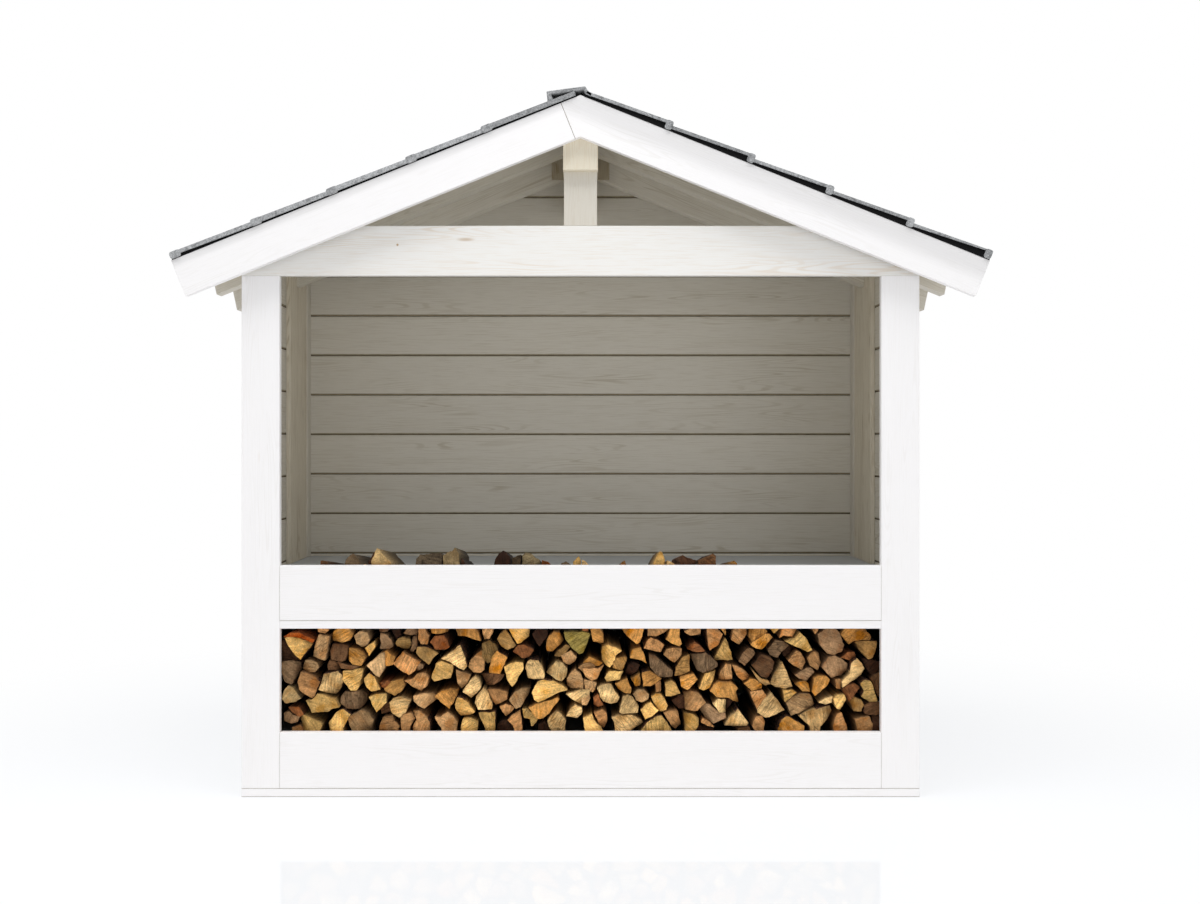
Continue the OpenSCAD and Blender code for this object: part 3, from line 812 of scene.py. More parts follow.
# %% Finishes of the logs and how they are laid
LOG_TONES = {
    "pale": "#ffd28e", "gold": "#f8c676", "amber": "#dea055", "tan": "#d49d64",
    "ash": "#daac76", "grey": "#a8845f", "olive": "#b0874f", "moss": "#ccb05c",
    "rust": "#b27040", "brown": "#87603f", "dark": "#543826", "bark": "#c4692a",
    "weathered": "#6c5a44", "dusty": "#9c8762",
}
STACK = [
    ("gold", 3, -706, 371, -690, 373, -668, 368, -647, 361, -640, 354, -652, 340, -668, 316,
     -687, 337, -697, 352),
    ("bark", 1, -709, 373, -692, 383, -671, 383, -649, 373, -635, 366, -640, 359, -668, 371,
     -690, 375),
    ("dark", 30, -718, 363, -706, 359, -690, 335, -675, 318, -692, 309, -718, 309),
    ("grey", 16, -714, 313, -690, 316, -671, 309, -671, 294, -692, 256, -709, 263, -718, 290),
    ("pale", 8, -709, 242, -699, 254, -687, 251, -680, 240, -668, 225, -685, 216, -706, 213,
     -714, 225),
    ("rust", 12, -699, 204, -673, 206, -668, 197, -661, 185, -675, 180, -692, 194),
    ("grey", 14, -711, 190, -697, 194, -687, 185, -671, 180, -678, 168, -692, 163, -709, 170),
    ("tan", 10, -690, 156, -671, 161, -661, 151, -659, 121, -692, 121),
    ("gold", 3, -668, 185, -654, 185, -637, 178, -614, 166, -621, 151, -625, 121, -656, 121,
     -666, 159, -671, 175),
    ("tan", 2, -666, 290, -649, 287, -633, 278, -621, 266, -628, 249, -633, 232, -640, 225,
     -654, 232, -671, 247, -675, 266),
    ("ash", 12, -659, 316, -645, 318, -628, 309, -625, 299, -635, 287, -654, 287, -666, 294),
    ("ash", 5, -625, 378, -599, 375, -604, 342, -609, 316, -640, 325, -637, 347),
    ("tan", 14, -630, 395, -604, 395, -602, 385, -611, 378, -628, 383),
    ("amber", 6, -594, 373, -590, 385, -580, 395, -554, 395, -544, 378, -552, 363, -573, 359,
     -594, 361),
    ("brown", 12, -594, 354, -568, 356, -554, 349, -556, 330, -561, 316, -575, 311, -597, 318,
     -599, 337),
    ("brown", 16, -602, 316, -583, 311, -571, 297, -583, 290, -604, 292, -606, 304),
    ("amber", 5, -552, 347, -533, 344, -521, 337, -511, 325, -523, 302, -544, 306, -554, 318),
    ("ash", 6, -540, 375, -528, 385, -509, 383, -502, 366, -509, 352, -523, 347, -535, 356),
    ("gold", 14, -516, 344, -499, 356, -492, 363, -490, 349, -506, 325),
    ("brown", 4, -580, 313, -556, 306, -525, 302, -544, 294, -571, 297),
    ("gold", 2, -566, 292, -544, 294, -528, 299, -518, 297, -521, 275, -528, 254, -535, 244,
     -549, 244, -559, 259, -568, 271),
    ("pale", 2, -611, 285, -578, 292, -568, 280, -566, 263, -578, 240, -587, 232, -609, 237,
     -625, 247, -614, 271),
    ("gold", 1, -628, 237, -609, 235, -599, 228, -583, 225, -575, 206, -594, 201, -602, 194,
     -640, 192, -649, 209, -656, 221, -640, 223),
    ("grey", 18, -561, 240, -525, 242, -511, 228, -516, 209, -530, 197, -561, 199, -575, 213,
     -573, 230),
    ("gold", 3, -583, 194, -566, 199, -549, 187, -559, 170, -566, 154, -568, 121, -590, 121,
     -602, 166, -594, 178),
    ("ash", 8, -544, 187, -523, 199, -506, 192, -494, 175, -497, 159, -502, 121, -535, 121,
     -552, 161, -554, 178),
    ("ash", 4, -511, 304, -497, 316, -480, 332, -466, 337, -466, 299, -480, 275, -490, 280),
    ("gold", 3, -516, 273, -504, 287, -492, 278, -478, 247, -499, 242, -511, 251),
    ("gold", 6, -506, 228, -490, 235, -463, 237, -463, 216, -487, 192, -497, 209),
    ("grey", 20, -480, 380, -463, 375, -452, 359, -449, 347, -461, 340, -480, 342),
    ("brown", 18, -485, 395, -456, 395, -463, 383, -482, 383),
    ("dark", 34, -454, 385, -437, 387, -432, 373, -444, 363),
    ("grey", 26, -425, 378, -416, 390, -390, 392, -392, 375, -409, 373),
    ("olive", 12, -444, 356, -437, 366, -425, 371, -409, 368, -404, 354, -411, 342, -425, 342,
     -440, 347),
    ("grey", 14, -401, 371, -392, 373, -390, 359, -394, 344, -401, 335, -409, 337, -404, 354),
    ("tan", 8, -387, 395, -373, 394, -361, 375, -366, 354, -382, 354, -387, 366),
    ("olive", 8, -390, 349, -370, 349, -354, 342, -340, 332, -356, 316, -363, 304, -382, 321,
     -394, 335),
    ("amber", 6, -478, 332, -463, 340, -442, 325, -449, 306, -463, 302, -480, 309),
    ("tan", 3, -425, 337, -404, 325, -382, 313, -394, 292, -409, 282, -430, 292, -447, 309),
    ("grey", 10, -387, 309, -375, 306, -375, 297, -392, 290),
    ("amber", 12, -359, 395, -313, 395, -318, 383, -335, 378, -356, 380),
    ("rust", 14, -359, 359, -349, 373, -328, 375, -320, 363, -313, 347, -323, 340, -349, 342),
    ("pale", 1, -332, 321, -311, 335, -294, 349, -287, 354, -280, 340, -270, 304, -278, 294,
     -299, 304, -323, 318),
    ("gold", 3, -344, 309, -332, 316, -304, 306, -304, 294, -309, 275, -349, 266, -356, 275,
     -351, 292),
    ("amber", 4, -301, 395, -249, 395, -242, 380, -239, 363, -259, 368, -275, 375, -294, 373),
    ("tan", 12, -263, 316, -249, 330, -237, 340, -228, 323, -230, 294, -239, 285, -256, 287,
     -270, 299),
    ("ash", 5, -297, 294, -280, 290, -261, 282, -263, 273, -275, 256, -285, 247, -294, 259),
    ("pale", 2, -261, 273, -251, 280, -242, 271, -235, 256, -244, 242, -263, 223, -273, 235,
     -282, 242, -273, 256),
    ("amber", 4, -452, 266, -423, 273, -418, 259, -425, 244, -444, 232, -466, 244, -468, 249),
    ("rust", 12, -485, 259, -459, 268, -452, 261, -468, 249, -485, 251),
    ("tan", 6, -421, 268, -401, 273, -390, 285, -370, 287, -361, 275, -366, 256, -382, 240,
     -399, 251),
    ("pale", 2, -456, 216, -447, 228, -428, 230, -404, 221, -411, 209, -418, 192, -432, 180,
     -452, 192),
    ("ash", 6, -399, 232, -373, 237, -351, 237, -340, 225, -354, 213, -373, 201, -387, 209,
     -397, 218),
    ("amber", 2, -349, 230, -332, 244, -311, 247, -292, 247, -294, 232, -304, 216, -313, 199,
     -325, 211),
    ("gold", 2, -294, 230, -282, 228, -268, 216, -251, 192, -261, 185, -287, 182, -297, 197,
     -299, 213),
    ("tan", 5, -471, 180, -449, 187, -444, 173, -432, 159, -440, 123, -471, 121, -480, 151,
     -478, 170),
    ("tan", 4, -430, 185, -404, 192, -394, 178, -406, 159, -411, 121, -425, 128, -430, 163),
    ("tan", 6, -401, 194, -387, 197, -373, 187, -361, 170, -359, 121, -404, 121, -401, 156,
     -392, 175),
    ("ash", 9, -349, 182, -335, 180, -318, 194, -304, 185, -294, 168, -297, 121, -325, 121,
     -335, 156),
    ("gold", 2, -280, 178, -261, 180, -244, 170, -251, 121, -285, 121, -285, 161),
    ("brown", 26, -482, 211, -466, 216, -452, 204, -456, 190, -478, 185),
    ("tan", 14, -235, 395, -208, 395, -213, 375, -218, 366, -232, 363),
    ("olive", 10, -235, 356, -218, 363, -201, 354, -197, 342, -208, 330, -213, 313, -223, 309,
     -235, 325),
    ("amber", 4, -211, 325, -199, 340, -175, 323, -185, 299, -192, 285, -218, 287, -216, 306),
    ("olive", 5, -199, 368, -192, 380, -178, 390, -166, 371, -154, 352, -173, 340, -192, 352),
    ("gold", 3, -173, 395, -120, 395, -125, 373, -142, 356, -151, 356, -163, 375),
    ("rust", 9, -163, 337, -149, 352, -132, 352, -118, 347, -111, 340, -123, 325, -139, 321),
    ("dark", 22, -116, 378, -104, 390, -80, 387, -77, 375, -99, 347, -108, 359),
    ("amber", 10, -75, 375, -63, 385, -51, 383, -39, 363, -49, 352, -66, 337, -80, 337, -82, 359),
    ("olive", 6, -35, 354, -23, 349, -35, 337, -49, 325, -63, 325, -54, 340),
    ("moss", 4, -39, 383, 6, 385, 23, 380, 15, 354, 6, 332, -4, 330, -23, 349, -37, 366),
    ("ash", 6, -46, 328, -23, 340, -8, 323, -15, 311, -25, 304, -42, 313),
    ("pale", 2, -127, 313, -120, 321, -101, 316, -92, 304, -85, 285, -87, 273, -125, 273, -132,
     297),
    ("pale", 1, -58, 316, -42, 311, -30, 297, -35, 280, -44, 266, -61, 273, -82, 285, -75, 297),
    ("gold", 2, -182, 302, -168, 309, -151, 313, -137, 311, -135, 299, -151, 268, -163, 254,
     -173, 268),
    ("brown", 14, -237, 282, -211, 285, -182, 282, -192, 266, -208, 256, -225, 254),
    ("tan", 6, -220, 247, -194, 249, -173, 240, -175, 223, -192, 213, -204, 209, -213, 225),
    ("ash", 3, -170, 223, -158, 240, -142, 249, -118, 251, -123, 237, -142, 206, -154, 201,
     -163, 213),
    ("gold", 1, -116, 242, -111, 256, -101, 266, -87, 271, -63, 268, -46, 261, -30, 247, -49,
     242, -68, 232, -85, 223, -101, 216, -111, 221),
    ("pale", 2, -249, 230, -232, 251, -220, 240, -211, 213, -211, 201, -244, 199, -251, 216),
    ("tan", 9, -194, 206, -178, 213, -156, 204, -166, 192, -180, 180),
    ("gold", 5, -244, 194, -204, 194, -204, 163, -208, 123, -220, 132, -232, 163),
    ("amber", 3, -94, 216, -73, 221, -56, 228, -51, 223, -75, 190, -89, 178, -104, 178, -118,
     194, -125, 204),
    ("gold", 5, -139, 201, -125, 201, -113, 190, -101, 178, -113, 159, -118, 159, -120, 175,
     -135, 180),
    ("tan", 6, -175, 175, -158, 190, -144, 199, -139, 156, -142, 121, -151, 132, -163, 163),
    ("dark", 24, -199, 159, -189, 170, -175, 173, -161, 151, -158, 121, -201, 121),
    ("pale", 3, -58, 197, -46, 190, -35, 173, -39, 121, -63, 128, -80, 173),
    ("dark", 22, -101, 161, -87, 170, -73, 156, -56, 121, -104, 121),
    ("ash", 4, -25, 285, -13, 297, -1, 285, 6, 273, 6, 249, -23, 247, -32, 256, -32, 273),
    ("tan", 7, -6, 299, 6, 309, 25, 311, 35, 302, 23, 282, 6, 287),
    ("pale", 5, -35, 237, -18, 240, -1, 247, 23, 247, 20, 225, 8, 206, -13, 218),
    ("pale", 4, -25, 199, -13, 211, 4, 204, 4, 190, -8, 178, -35, 182),
    ("amber", 7, 23, 392, 46, 394, 54, 380, 56, 356, 49, 354, 30, 361),
    ("rust", 6, 4, 395, 20, 395, 18, 385, 4, 387),
    ("gold", 4, 51, 349, 66, 354, 85, 347, 99, 340, 85, 328, 80, 313, 70, 299, 63, 302, 51, 316),
    ("olive", 6, 85, 323, 106, 325, 111, 321, 104, 299, 99, 292, 77, 297, 77, 311),
    ("gold", 3, 68, 292, 101, 290, 94, 271, 75, 266, 61, 263, 58, 275),
    ("amber", 3, 94, 395, 151, 395, 147, 373, 142, 359, 135, 354, 120, 366, 106, 380),
    ("amber", 9, 123, 342, 144, 347, 151, 332, 158, 309, 144, 316, 118, 321),
    ("dark", 20, 113, 302, 127, 309, 142, 302, 137, 287, 120, 278, 108, 282),
    ("tan", 4, 161, 395, 218, 395, 199, 383, 182, 375, 161, 375),
    ("amber", 8, 216, 395, 237, 395, 237, 375, 242, 356, 237, 349, 220, 354, 204, 366),
    ("tan", 9, 161, 366, 168, 371, 182, 366, 201, 354, 192, 335, 173, 340, 151, 344),
    ("tan", 9, 206, 342, 220, 347, 242, 344, 242, 328, 225, 311, 211, 318, 197, 330),
    ("grey", 6, 163, 332, 178, 328, 192, 316, 208, 302, 220, 292, 218, 278, 201, 275, 185, 278,
     166, 299),
    ("amber", 3, 147, 287, 166, 292, 182, 282, 194, 273, 178, 261, 163, 256, 149, 254),
    ("amber", 5, 120, 273, 132, 282, 142, 287, 144, 271, 142, 256, 130, 254),
    ("ash", 7, 8, 271, 23, 268, 39, 263, 35, 247, 30, 240, 11, 247),
    ("tan", 5, 4, 299, 18, 297, 42, 297, 56, 306, 49, 290, 39, 271, 27, 266, 11, 278),
    ("amber", 13, 20, 325, 35, 318, 54, 309, 46, 302, 23, 302, 6, 309),
    ("pale", 2, 39, 251, 54, 259, 73, 259, 82, 244, 94, 228, 87, 216, 73, 211, 54, 216, 46, 232),
    ("amber", 4, 82, 261, 96, 268, 111, 273, 123, 247, 120, 237, 106, 237, 89, 247),
    ("pale", 1, 101, 232, 113, 235, 125, 228, 139, 206, 137, 192, 99, 190, 92, 194),
    ("ash", 5, 125, 235, 135, 247, 151, 247, 163, 235, 161, 223, 147, 216, 132, 221),
    ("tan", 11, 178, 261, 192, 268, 192, 242, 180, 240),
    ("gold", 3, 168, 230, 180, 237, 192, 237, 201, 225, 208, 209, 204, 199, 189, 194, 178, 209),
    ("gold", 3, 201, 263, 216, 268, 228, 259, 239, 237, 216, 230, 204, 232),
    ("gold", 4, 144, 199, 156, 211, 168, 216, 187, 197, 170, 182, 154, 175),
    ("rust", 8, 30, 228, 42, 235, 54, 209, 42, 204, 32, 209),
    ("ash", 8, -1, 242, 20, 242, 23, 225, 15, 209, 4, 211),
    ("gold", 3, 6, 180, 27, 190, 32, 175, 54, 149, 49, 121, 13, 121),
    ("tan", 6, 32, 192, 51, 199, 63, 192, 63, 166, 56, 149, 44, 163),
    ("pale", 3, 73, 180, 89, 185, 123, 187, 144, 175, 151, 166, 132, 156, 116, 144, 82, 149, 80,
     170),
    ("gold", 1, 132, 121, 149, 159, 166, 175, 182, 185, 194, 185, 206, 170, 218, 147, 220, 121),
    ("tan", 5, 197, 192, 216, 197, 232, 197, 239, 163, 228, 149, 216, 161),
    ("dark", 30, 218, 216, 237, 230, 261, 228, 261, 197, 237, 197),
    ("olive", 14, 228, 299, 244, 323, 261, 330, 261, 290, 244, 280, 225, 278),
    ("tan", 9, 247, 385, 261, 392, 287, 394, 287, 378, 261, 375),
    ("rust", 8, 261, 354, 273, 361, 285, 352, 299, 337, 275, 335, 256, 342),
    ("tan", 5, 301, 395, 325, 395, 340, 378, 330, 354, 318, 347, 309, 342, 304, 354),
    ("amber", 12, 332, 395, 349, 395, 347, 375),
    ("gold", 1, 344, 371, 351, 361, 359, 337, 363, 318, 325, 316, 320, 321, 332, 347),
    ("grey", 7, 263, 328, 278, 332, 299, 335, 328, 311, 328, 302, 311, 292, 292, 287, 278, 292),
    ("gold", 5, 297, 285, 323, 292, 318, 271, 309, 251, 294, 244, 282, 247, 289, 263),
    ("tan", 8, 347, 309, 359, 306, 363, 271, 332, 268, 335, 292),
    ("amber", 3, 237, 278, 256, 282, 270, 285, 280, 271, 268, 259, 256, 247, 239, 254),
    ("tan", 6, 361, 306, 373, 304, 385, 297, 404, 280, 401, 273, 387, 268, 373, 280),
    ("grey", 10, 385, 330, 401, 347, 413, 342, 418, 332, 404, 316, 392, 302, 378, 313),
    ("tan", 6, 359, 366, 363, 387, 370, 395, 397, 395, 397, 380, 387, 359, 380, 352),
    ("amber", 7, 404, 395, 437, 395, 447, 385, 428, 371, 409, 361, 401, 373),
    ("amber", 4, 440, 380, 452, 380, 459, 371, 444, 356, 432, 342, 421, 344, 406, 354, 411, 361),
    ("gold", 12, 452, 395, 478, 395, 463, 378),
    ("grey", 14, 466, 363, 487, 361, 499, 352, 482, 335, 471, 323, 454, 328, 447, 342),
    ("tan", 9, 482, 395, 521, 395, 509, 371, 485, 375, 475, 368),
    ("gold", 2, 487, 363, 511, 371, 523, 385, 537, 371, 554, 340, 542, 337, 518, 347),
    ("brown", 7, 409, 304, 421, 318, 432, 330, 452, 325, 463, 313, 459, 294, 447, 275, 430, 278),
    ("pale", 4, 406, 299, 418, 285, 432, 273, 449, 268, 454, 259, 442, 254, 425, 266),
    ("pale", 1, 480, 313, 490, 294, 506, 254, 490, 249, 466, 254, 452, 259, 461, 282),
    ("amber", 4, 390, 261, 404, 273, 418, 273, 432, 259, 432, 251, 409, 244),
    ("tan", 5, 404, 242, 421, 244, 435, 247, 444, 232, 432, 216, 421, 199),
    ("pale", 1, 454, 242, 468, 225, 485, 199, 463, 187, 440, 180, 421, 192, 423, 204, 437, 223),
    ("amber", 1, 309, 244, 316, 259, 328, 266, 359, 266, 375, 251, 370, 242, 380, 213, 366, 218,
     354, 228, 337, 228, 325, 230),
    ("pale", 3, 316, 213, 328, 225, 347, 223, 347, 192, 332, 192),
    ("dark", 28, 351, 223, 368, 218, 359, 204, 349, 194),
    ("tan", 4, 247, 237, 263, 244, 280, 240, 299, 216, 287, 206, 280, 197, 251, 197),
    ("grey", 8, 285, 201, 299, 213, 309, 211, 325, 197, 347, 190, 349, 178, 318, 166, 299, 175),
    ("pale", 1, 375, 201, 387, 187, 401, 168, 397, 159, 368, 159, 344, 161, 347, 170),
    ("tan", 7, 287, 168, 292, 178, 309, 170, 320, 156, 304, 159),
    ("gold", 4, 247, 190, 266, 190, 282, 178, 282, 163, 273, 149, 270, 121, 251, 121),
    ("dark", 22, 278, 156, 299, 156, 318, 151, 332, 121, 270, 121),
    ("brown", 16, 375, 154, 404, 156, 416, 121, 375, 121),
    ("tan", 6, 418, 182, 435, 185, 440, 170, 437, 121, 423, 140, 409, 159),
    ("amber", 2, 480, 178, 492, 185, 504, 178, 533, 161, 530, 121, 478, 121, 471, 154),
    ("gold", 3, 482, 247, 502, 247, 516, 240, 506, 230, 487, 218),
    ("ash", 2, 490, 216, 506, 230, 523, 237, 547, 237, 561, 209, 542, 199, 521, 192, 502, 185),
    ("pale", 2, 518, 185, 542, 197, 571, 204, 597, 209, 602, 194, 590, 175, 573, 159, 566, 123,
     552, 123, 547, 159),
    ("tan", 6, 494, 316, 516, 340, 525, 337, 535, 321, 537, 311, 528, 294, 509, 304),
    ("tan", 8, 542, 321, 554, 337, 568, 335, 575, 311, 566, 292, 549, 304),
    ("grey", 12, 513, 280, 528, 292, 540, 299, 552, 297, 561, 287, 552, 278, 542, 266, 523, 271),
    ("amber", 4, 513, 259, 525, 266, 537, 268, 544, 261, 547, 242, 530, 242),
    ("amber", 2, 556, 275, 571, 280, 587, 280, 594, 271, 587, 256, 571, 242, 559, 230, 552, 242),
    ("tan", 12, 552, 395, 573, 395, 561, 378),
    ("grey", 10, 568, 378, 580, 387, 599, 394, 614, 390, 621, 375, 630, 354, 623, 337, 606, 328,
     590, 332, 571, 354),
    ("amber", 6, 621, 378, 633, 394, 675, 395, 692, 375, 690, 366, 652, 363, 640, 354),
    ("olive", 7, 656, 359, 668, 363, 697, 363, 709, 361, 706, 340, 699, 321, 687, 318, 671, 335),
    ("grey", 6, 575, 299, 590, 325, 606, 328, 623, 321, 637, 309, 640, 292, 625, 278, 599, 275),
    ("rust", 16, 623, 321, 640, 335, 656, 335, 661, 323, 647, 313),
    ("pale", 3, 645, 311, 659, 323, 671, 311, 678, 297, 671, 282, 656, 271, 625, 251, 623, 266,
     642, 285),
    ("tan", 10, 609, 271, 623, 271, 621, 247, 611, 249),
    ("rust", 5, 625, 247, 640, 259, 654, 261, 666, 251, 661, 242, 642, 218, 633, 230),
    ("gold", 6, 668, 261, 680, 271, 692, 268, 699, 254, 709, 218, 692, 216, 671, 228, 675, 244),
    ("olive", 9, 642, 218, 654, 228, 671, 221, 678, 209, 671, 194, 654, 194),
    ("pale", 5, 568, 216, 585, 228, 602, 230, 599, 216, 585, 211),
    ("gold", 2, 602, 225, 614, 235, 628, 237, 635, 223, 621, 197, 611, 201),
    ("tan", 8, 614, 190, 623, 194, 637, 156, 635, 121, 609, 121, 604, 163),
    ("tan", 7, 656, 175, 671, 180, 690, 182, 697, 166, 697, 121, 666, 121),
    ("brown", 18, 678, 206, 695, 216, 718, 213, 718, 185, 704, 182, 680, 187),
    ("dark", 20, 699, 180, 718, 182, 721, 121, 702, 121),
    ("brown", 22, 695, 271, 709, 282, 721, 285, 721, 223, 714, 228),
    ("dark", 28, 675, 318, 695, 316, 718, 309, 718, 287, 697, 278),
    ("dark", 30, 478, 349, 494, 352, 513, 347, 509, 330, 490, 321),
]
ON_SHELF = [
    ("brown", 4, -620, 514, -620, 554, -616, 556, -604, 552, -594, 514),
    ("weathered", 10, -573, 514, -561, 556, -552, 566, -544, 571, -535, 561, -521, 542, -521, 514),
    ("gold", 2, -521, 514, -516, 547, -506, 545, -504, 514),
    ("dark", 6, -509, 514, -506, 552, -492, 576, -487, 566, -499, 514),
    ("pale", 1, -499, 514, -497, 556, -490, 576, -485, 585, -478, 576, -454, 552, -440, 514,
     -449, 514),
    ("weathered", 6, -401, 514, -392, 559, -382, 568, -363, 571, -335, 573, -330, 566, -330, 514),
    ("dusty", 3, -328, 514, -328, 568, -316, 576, -306, 578, -299, 587, -289, 573, -287, 514),
    ("dark", 9, -285, 514, -285, 561, -278, 554, -268, 514),
    ("dark", 7, -216, 514, -204, 556, -197, 568, -185, 580, -178, 578, -166, 556, -168, 514),
    ("weathered", 12, -166, 514, -163, 561, -151, 566, -142, 568, -144, 514),
    ("dusty", 5, -142, 514, -139, 566, -130, 573, -118, 571, -106, 561, -96, 556, -96, 514),
    ("rust", 6, -94, 514, -92, 556, -77, 552, -66, 542, -49, 514),
    ("weathered", 9, -46, 514, -46, 547, -35, 552, -20, 542, -20, 514),
    ("gold", 2, -18, 514, -18, 552, -4, 566, 1, 556, 1, 514),
    ("pale", 5, 4, 514, 4, 556, 13, 552, 27, 537, 46, 514),
    ("tan", 3, 85, 514, 99, 552, 106, 556, 118, 514),
    ("gold", 2, 161, 514, 175, 554, 182, 566, 189, 578, 194, 576, 201, 556, 201, 514),
    ("pale", 5, 204, 514, 206, 556, 216, 552, 237, 537, 230, 514),
    ("dark", 8, 237, 514, 237, 564, 244, 568, 256, 561, 275, 556, 278, 514),
    ("brown", 9, 280, 514, 280, 556, 299, 561, 316, 571, 323, 566, 325, 514),
    ("amber", 3, 347, 514, 359, 549, 366, 554, 373, 549, 382, 514),
]
print("logs in the bay:", len(STACK), "on the shelf:", len(ON_SHELF))

# %% [markdown]
# ## Wood of the logs
# Three surfaces are seen on a log. The end grain shows year rings about 3 mm wide around
# the pith, marks of the saw across them, and a few drying checks. The split sides show
# long fibres. The bark is dark and rough.
#
# Rings need to know where the pith is. So every log's end carries its own flat map, in
# metres from its pith, and the distance on this map draws the rings. The pith of a split
# log is near its sharpest corner, because the axe splits towards the middle.

# %% End grain, split side and bark
end_grain, tree, shader = new_material("spruce_end_grain", Roughness=0.8, IOR=1.46)
# Sawn end grain: matt and mottled, with rings and saw marks
shader.inputs["Specular IOR Level"].default_value = 0.2
paint = add(tree, "ShaderNodeVertexColor", layer_name="wood_tone_and_shade")
tone = paint.outputs["Color"]
pith = add(tree, "ShaderNodeUVMap", uv_map="from_pith").outputs["UV"]
island = add(tree, "ShaderNodeNewGeometry").outputs["Random Per Island"]
own = add(tree, "ShaderNodeVectorMath", {0: (3.1, 5.7, 2.3), "Scale": island},
          operation="SCALE").outputs[0]
spot = add(tree, "ShaderNodeVectorMath", {0: pith, 1: own}, operation="ADD").outputs[0]
cloud = add(tree, "ShaderNodeTexNoise", {"Vector": spot, "Scale": 1 / (17 * MM),
            "Detail": 4.0, "Roughness": 0.65}).outputs["Fac"]
wobble = add(tree, "ShaderNodeMath", {0: cloud, 1: 9 * MM}, operation="MULTIPLY").outputs[0]
radius = add(tree, "ShaderNodeVectorMath", {0: pith}, operation="LENGTH").outputs["Value"]
radius = add(tree, "ShaderNodeMath", {0: radius, 1: wobble}, operation="ADD").outputs[0]
turns = add(tree, "ShaderNodeMath", {0: radius, 1: 2 * math.pi / (3.4 * MM)},
            operation="MULTIPLY").outputs[0]
rings = add(tree, "ShaderNodeMath", {0: turns}, operation="SINE").outputs[0]
angle = add(tree, "ShaderNodeMath", {0: island, 1: 9.0}, operation="MULTIPLY").outputs[0]
facing = add(tree, "ShaderNodeCombineXYZ", {2: angle}).outputs[0]
sawn = add(tree, "ShaderNodeMapping", {"Vector": spot, "Rotation": facing,
           "Scale": (34 * MM, 4.5 * MM, 1.0)}, vector_type="TEXTURE").outputs[0]
marks = add(tree, "ShaderNodeTexNoise", {"Vector": sawn, "Scale": 1.0, "Detail": 3.0}
            ).outputs["Fac"]
pits = add(tree, "ShaderNodeTexNoise", {"Vector": spot, "Scale": 1 / (3.5 * MM),
           "Detail": 3.0, "Roughness": 0.7}).outputs["Fac"]
# Each figure makes the wood darker or lighter: where it starts and ends, and what it gives
# The level starts from the wood tone's alpha, which holds painted light and shade
level = paint.outputs["Alpha"]
for figure, start, end, least, most in ((rings, 0.0, 1.0, 1.0, 0.88),
                                        (marks, 0.3, 0.7, 0.70, 1.26),
                                        (pits, 0.3, 0.65, 0.66, 1.16),
                                        (cloud, 0.3, 0.7, 0.52, 1.28)):
    share = add(tree, "ShaderNodeMapRange", {"Value": figure, "From Min": start,
                "From Max": end, "To Min": least, "To Max": most}).outputs[0]
    level = add(tree, "ShaderNodeMath", {0: level, 1: share}, operation="MULTIPLY").outputs[0]
# Checks: cracks that open as the wood dries, on about half of the logs
cells = add(tree, "ShaderNodeTexVoronoi", {"Vector": sawn, "Scale": 0.55},
            feature="DISTANCE_TO_EDGE").outputs["Distance"]
crack = add(tree, "ShaderNodeMapRange", {"Value": cells, "From Min": 0.0, "From Max": 0.05,
            "To Min": 0.45, "To Max": 1.0}).outputs[0]
dry = add(tree, "ShaderNodeMath", {0: island, 1: 0.55}, operation="GREATER_THAN").outputs[0]
crack = add(tree, "ShaderNodeMath", {0: crack, 1: dry}, operation="MAXIMUM").outputs[0]
level = add(tree, "ShaderNodeMath", {0: level, 1: crack}, operation="MULTIPLY").outputs[0]
heart = add(tree, "ShaderNodeHueSaturation", {"Color": tone, "Hue": 0.490,
            "Saturation": 1.12, "Value": 0.62}).outputs[0]
stained = add(tree, "ShaderNodeMapRange", {"Value": add(tree, "ShaderNodeTexNoise",
              {"Vector": spot, "Scale": 1 / (34 * MM), "Detail": 2.0}).outputs["Fac"],
              "From Min": 0.5, "From Max": 0.66}).outputs[0]
wood = add(tree, "ShaderNodeMix", {0: stained, 6: tone, 7: heart}, data_type="RGBA")
shade = add(tree, "ShaderNodeHueSaturation", {"Color": wood.outputs[2], "Value": level})
tree.links.new(shade.outputs[0], shader.inputs["Base Color"])
height = add(tree, "ShaderNodeMath", {0: pits, 1: crack}, operation="ADD").outputs[0]
bump = add(tree, "ShaderNodeBump", {"Height": height, "Strength": 0.8, "Distance": 1.2 * MM})
tree.links.new(bump.outputs[0], shader.inputs["Normal"])

split_side, tree, shader = new_material("split_spruce_side", Roughness=0.85, IOR=1.46)
# Riven wood: silky fibres along the log, darker than the ends by painted shade from the wood
# tone's alpha, the deeper it lies in the stack
paint = add(tree, "ShaderNodeVertexColor", layer_name="wood_tone_and_shade")
place = add(tree, "ShaderNodeTexCoord").outputs["Object"]
fibre_place = add(tree, "ShaderNodeMapping", {"Vector": place,
                  "Scale": (2.4 * MM, 95 * MM, 2.4 * MM)}, vector_type="TEXTURE")
fibre = add(tree, "ShaderNodeTexNoise", {"Vector": fibre_place.outputs[0], "Scale": 1.0,
            "Detail": 4.0}).outputs["Fac"]
level = add(tree, "ShaderNodeMapRange", {"Value": fibre, "From Min": 0.3, "From Max": 0.7,
            "To Min": 0.42, "To Max": 1.0}).outputs[0]
level = add(tree, "ShaderNodeMath", {0: level, 1: paint.outputs["Alpha"]},
            operation="MULTIPLY").outputs[0]
shade = add(tree, "ShaderNodeHueSaturation", {"Color": paint.outputs["Color"],
            "Value": level})
tree.links.new(shade.outputs[0], shader.inputs["Base Color"])
bump = add(tree, "ShaderNodeBump", {"Height": fibre, "Strength": 0.8, "Distance": 1.5 * MM})
tree.links.new(bump.outputs[0], shader.inputs["Normal"])

log_bark, tree, shader = new_material("spruce_bark", Roughness=0.95, IOR=1.5)
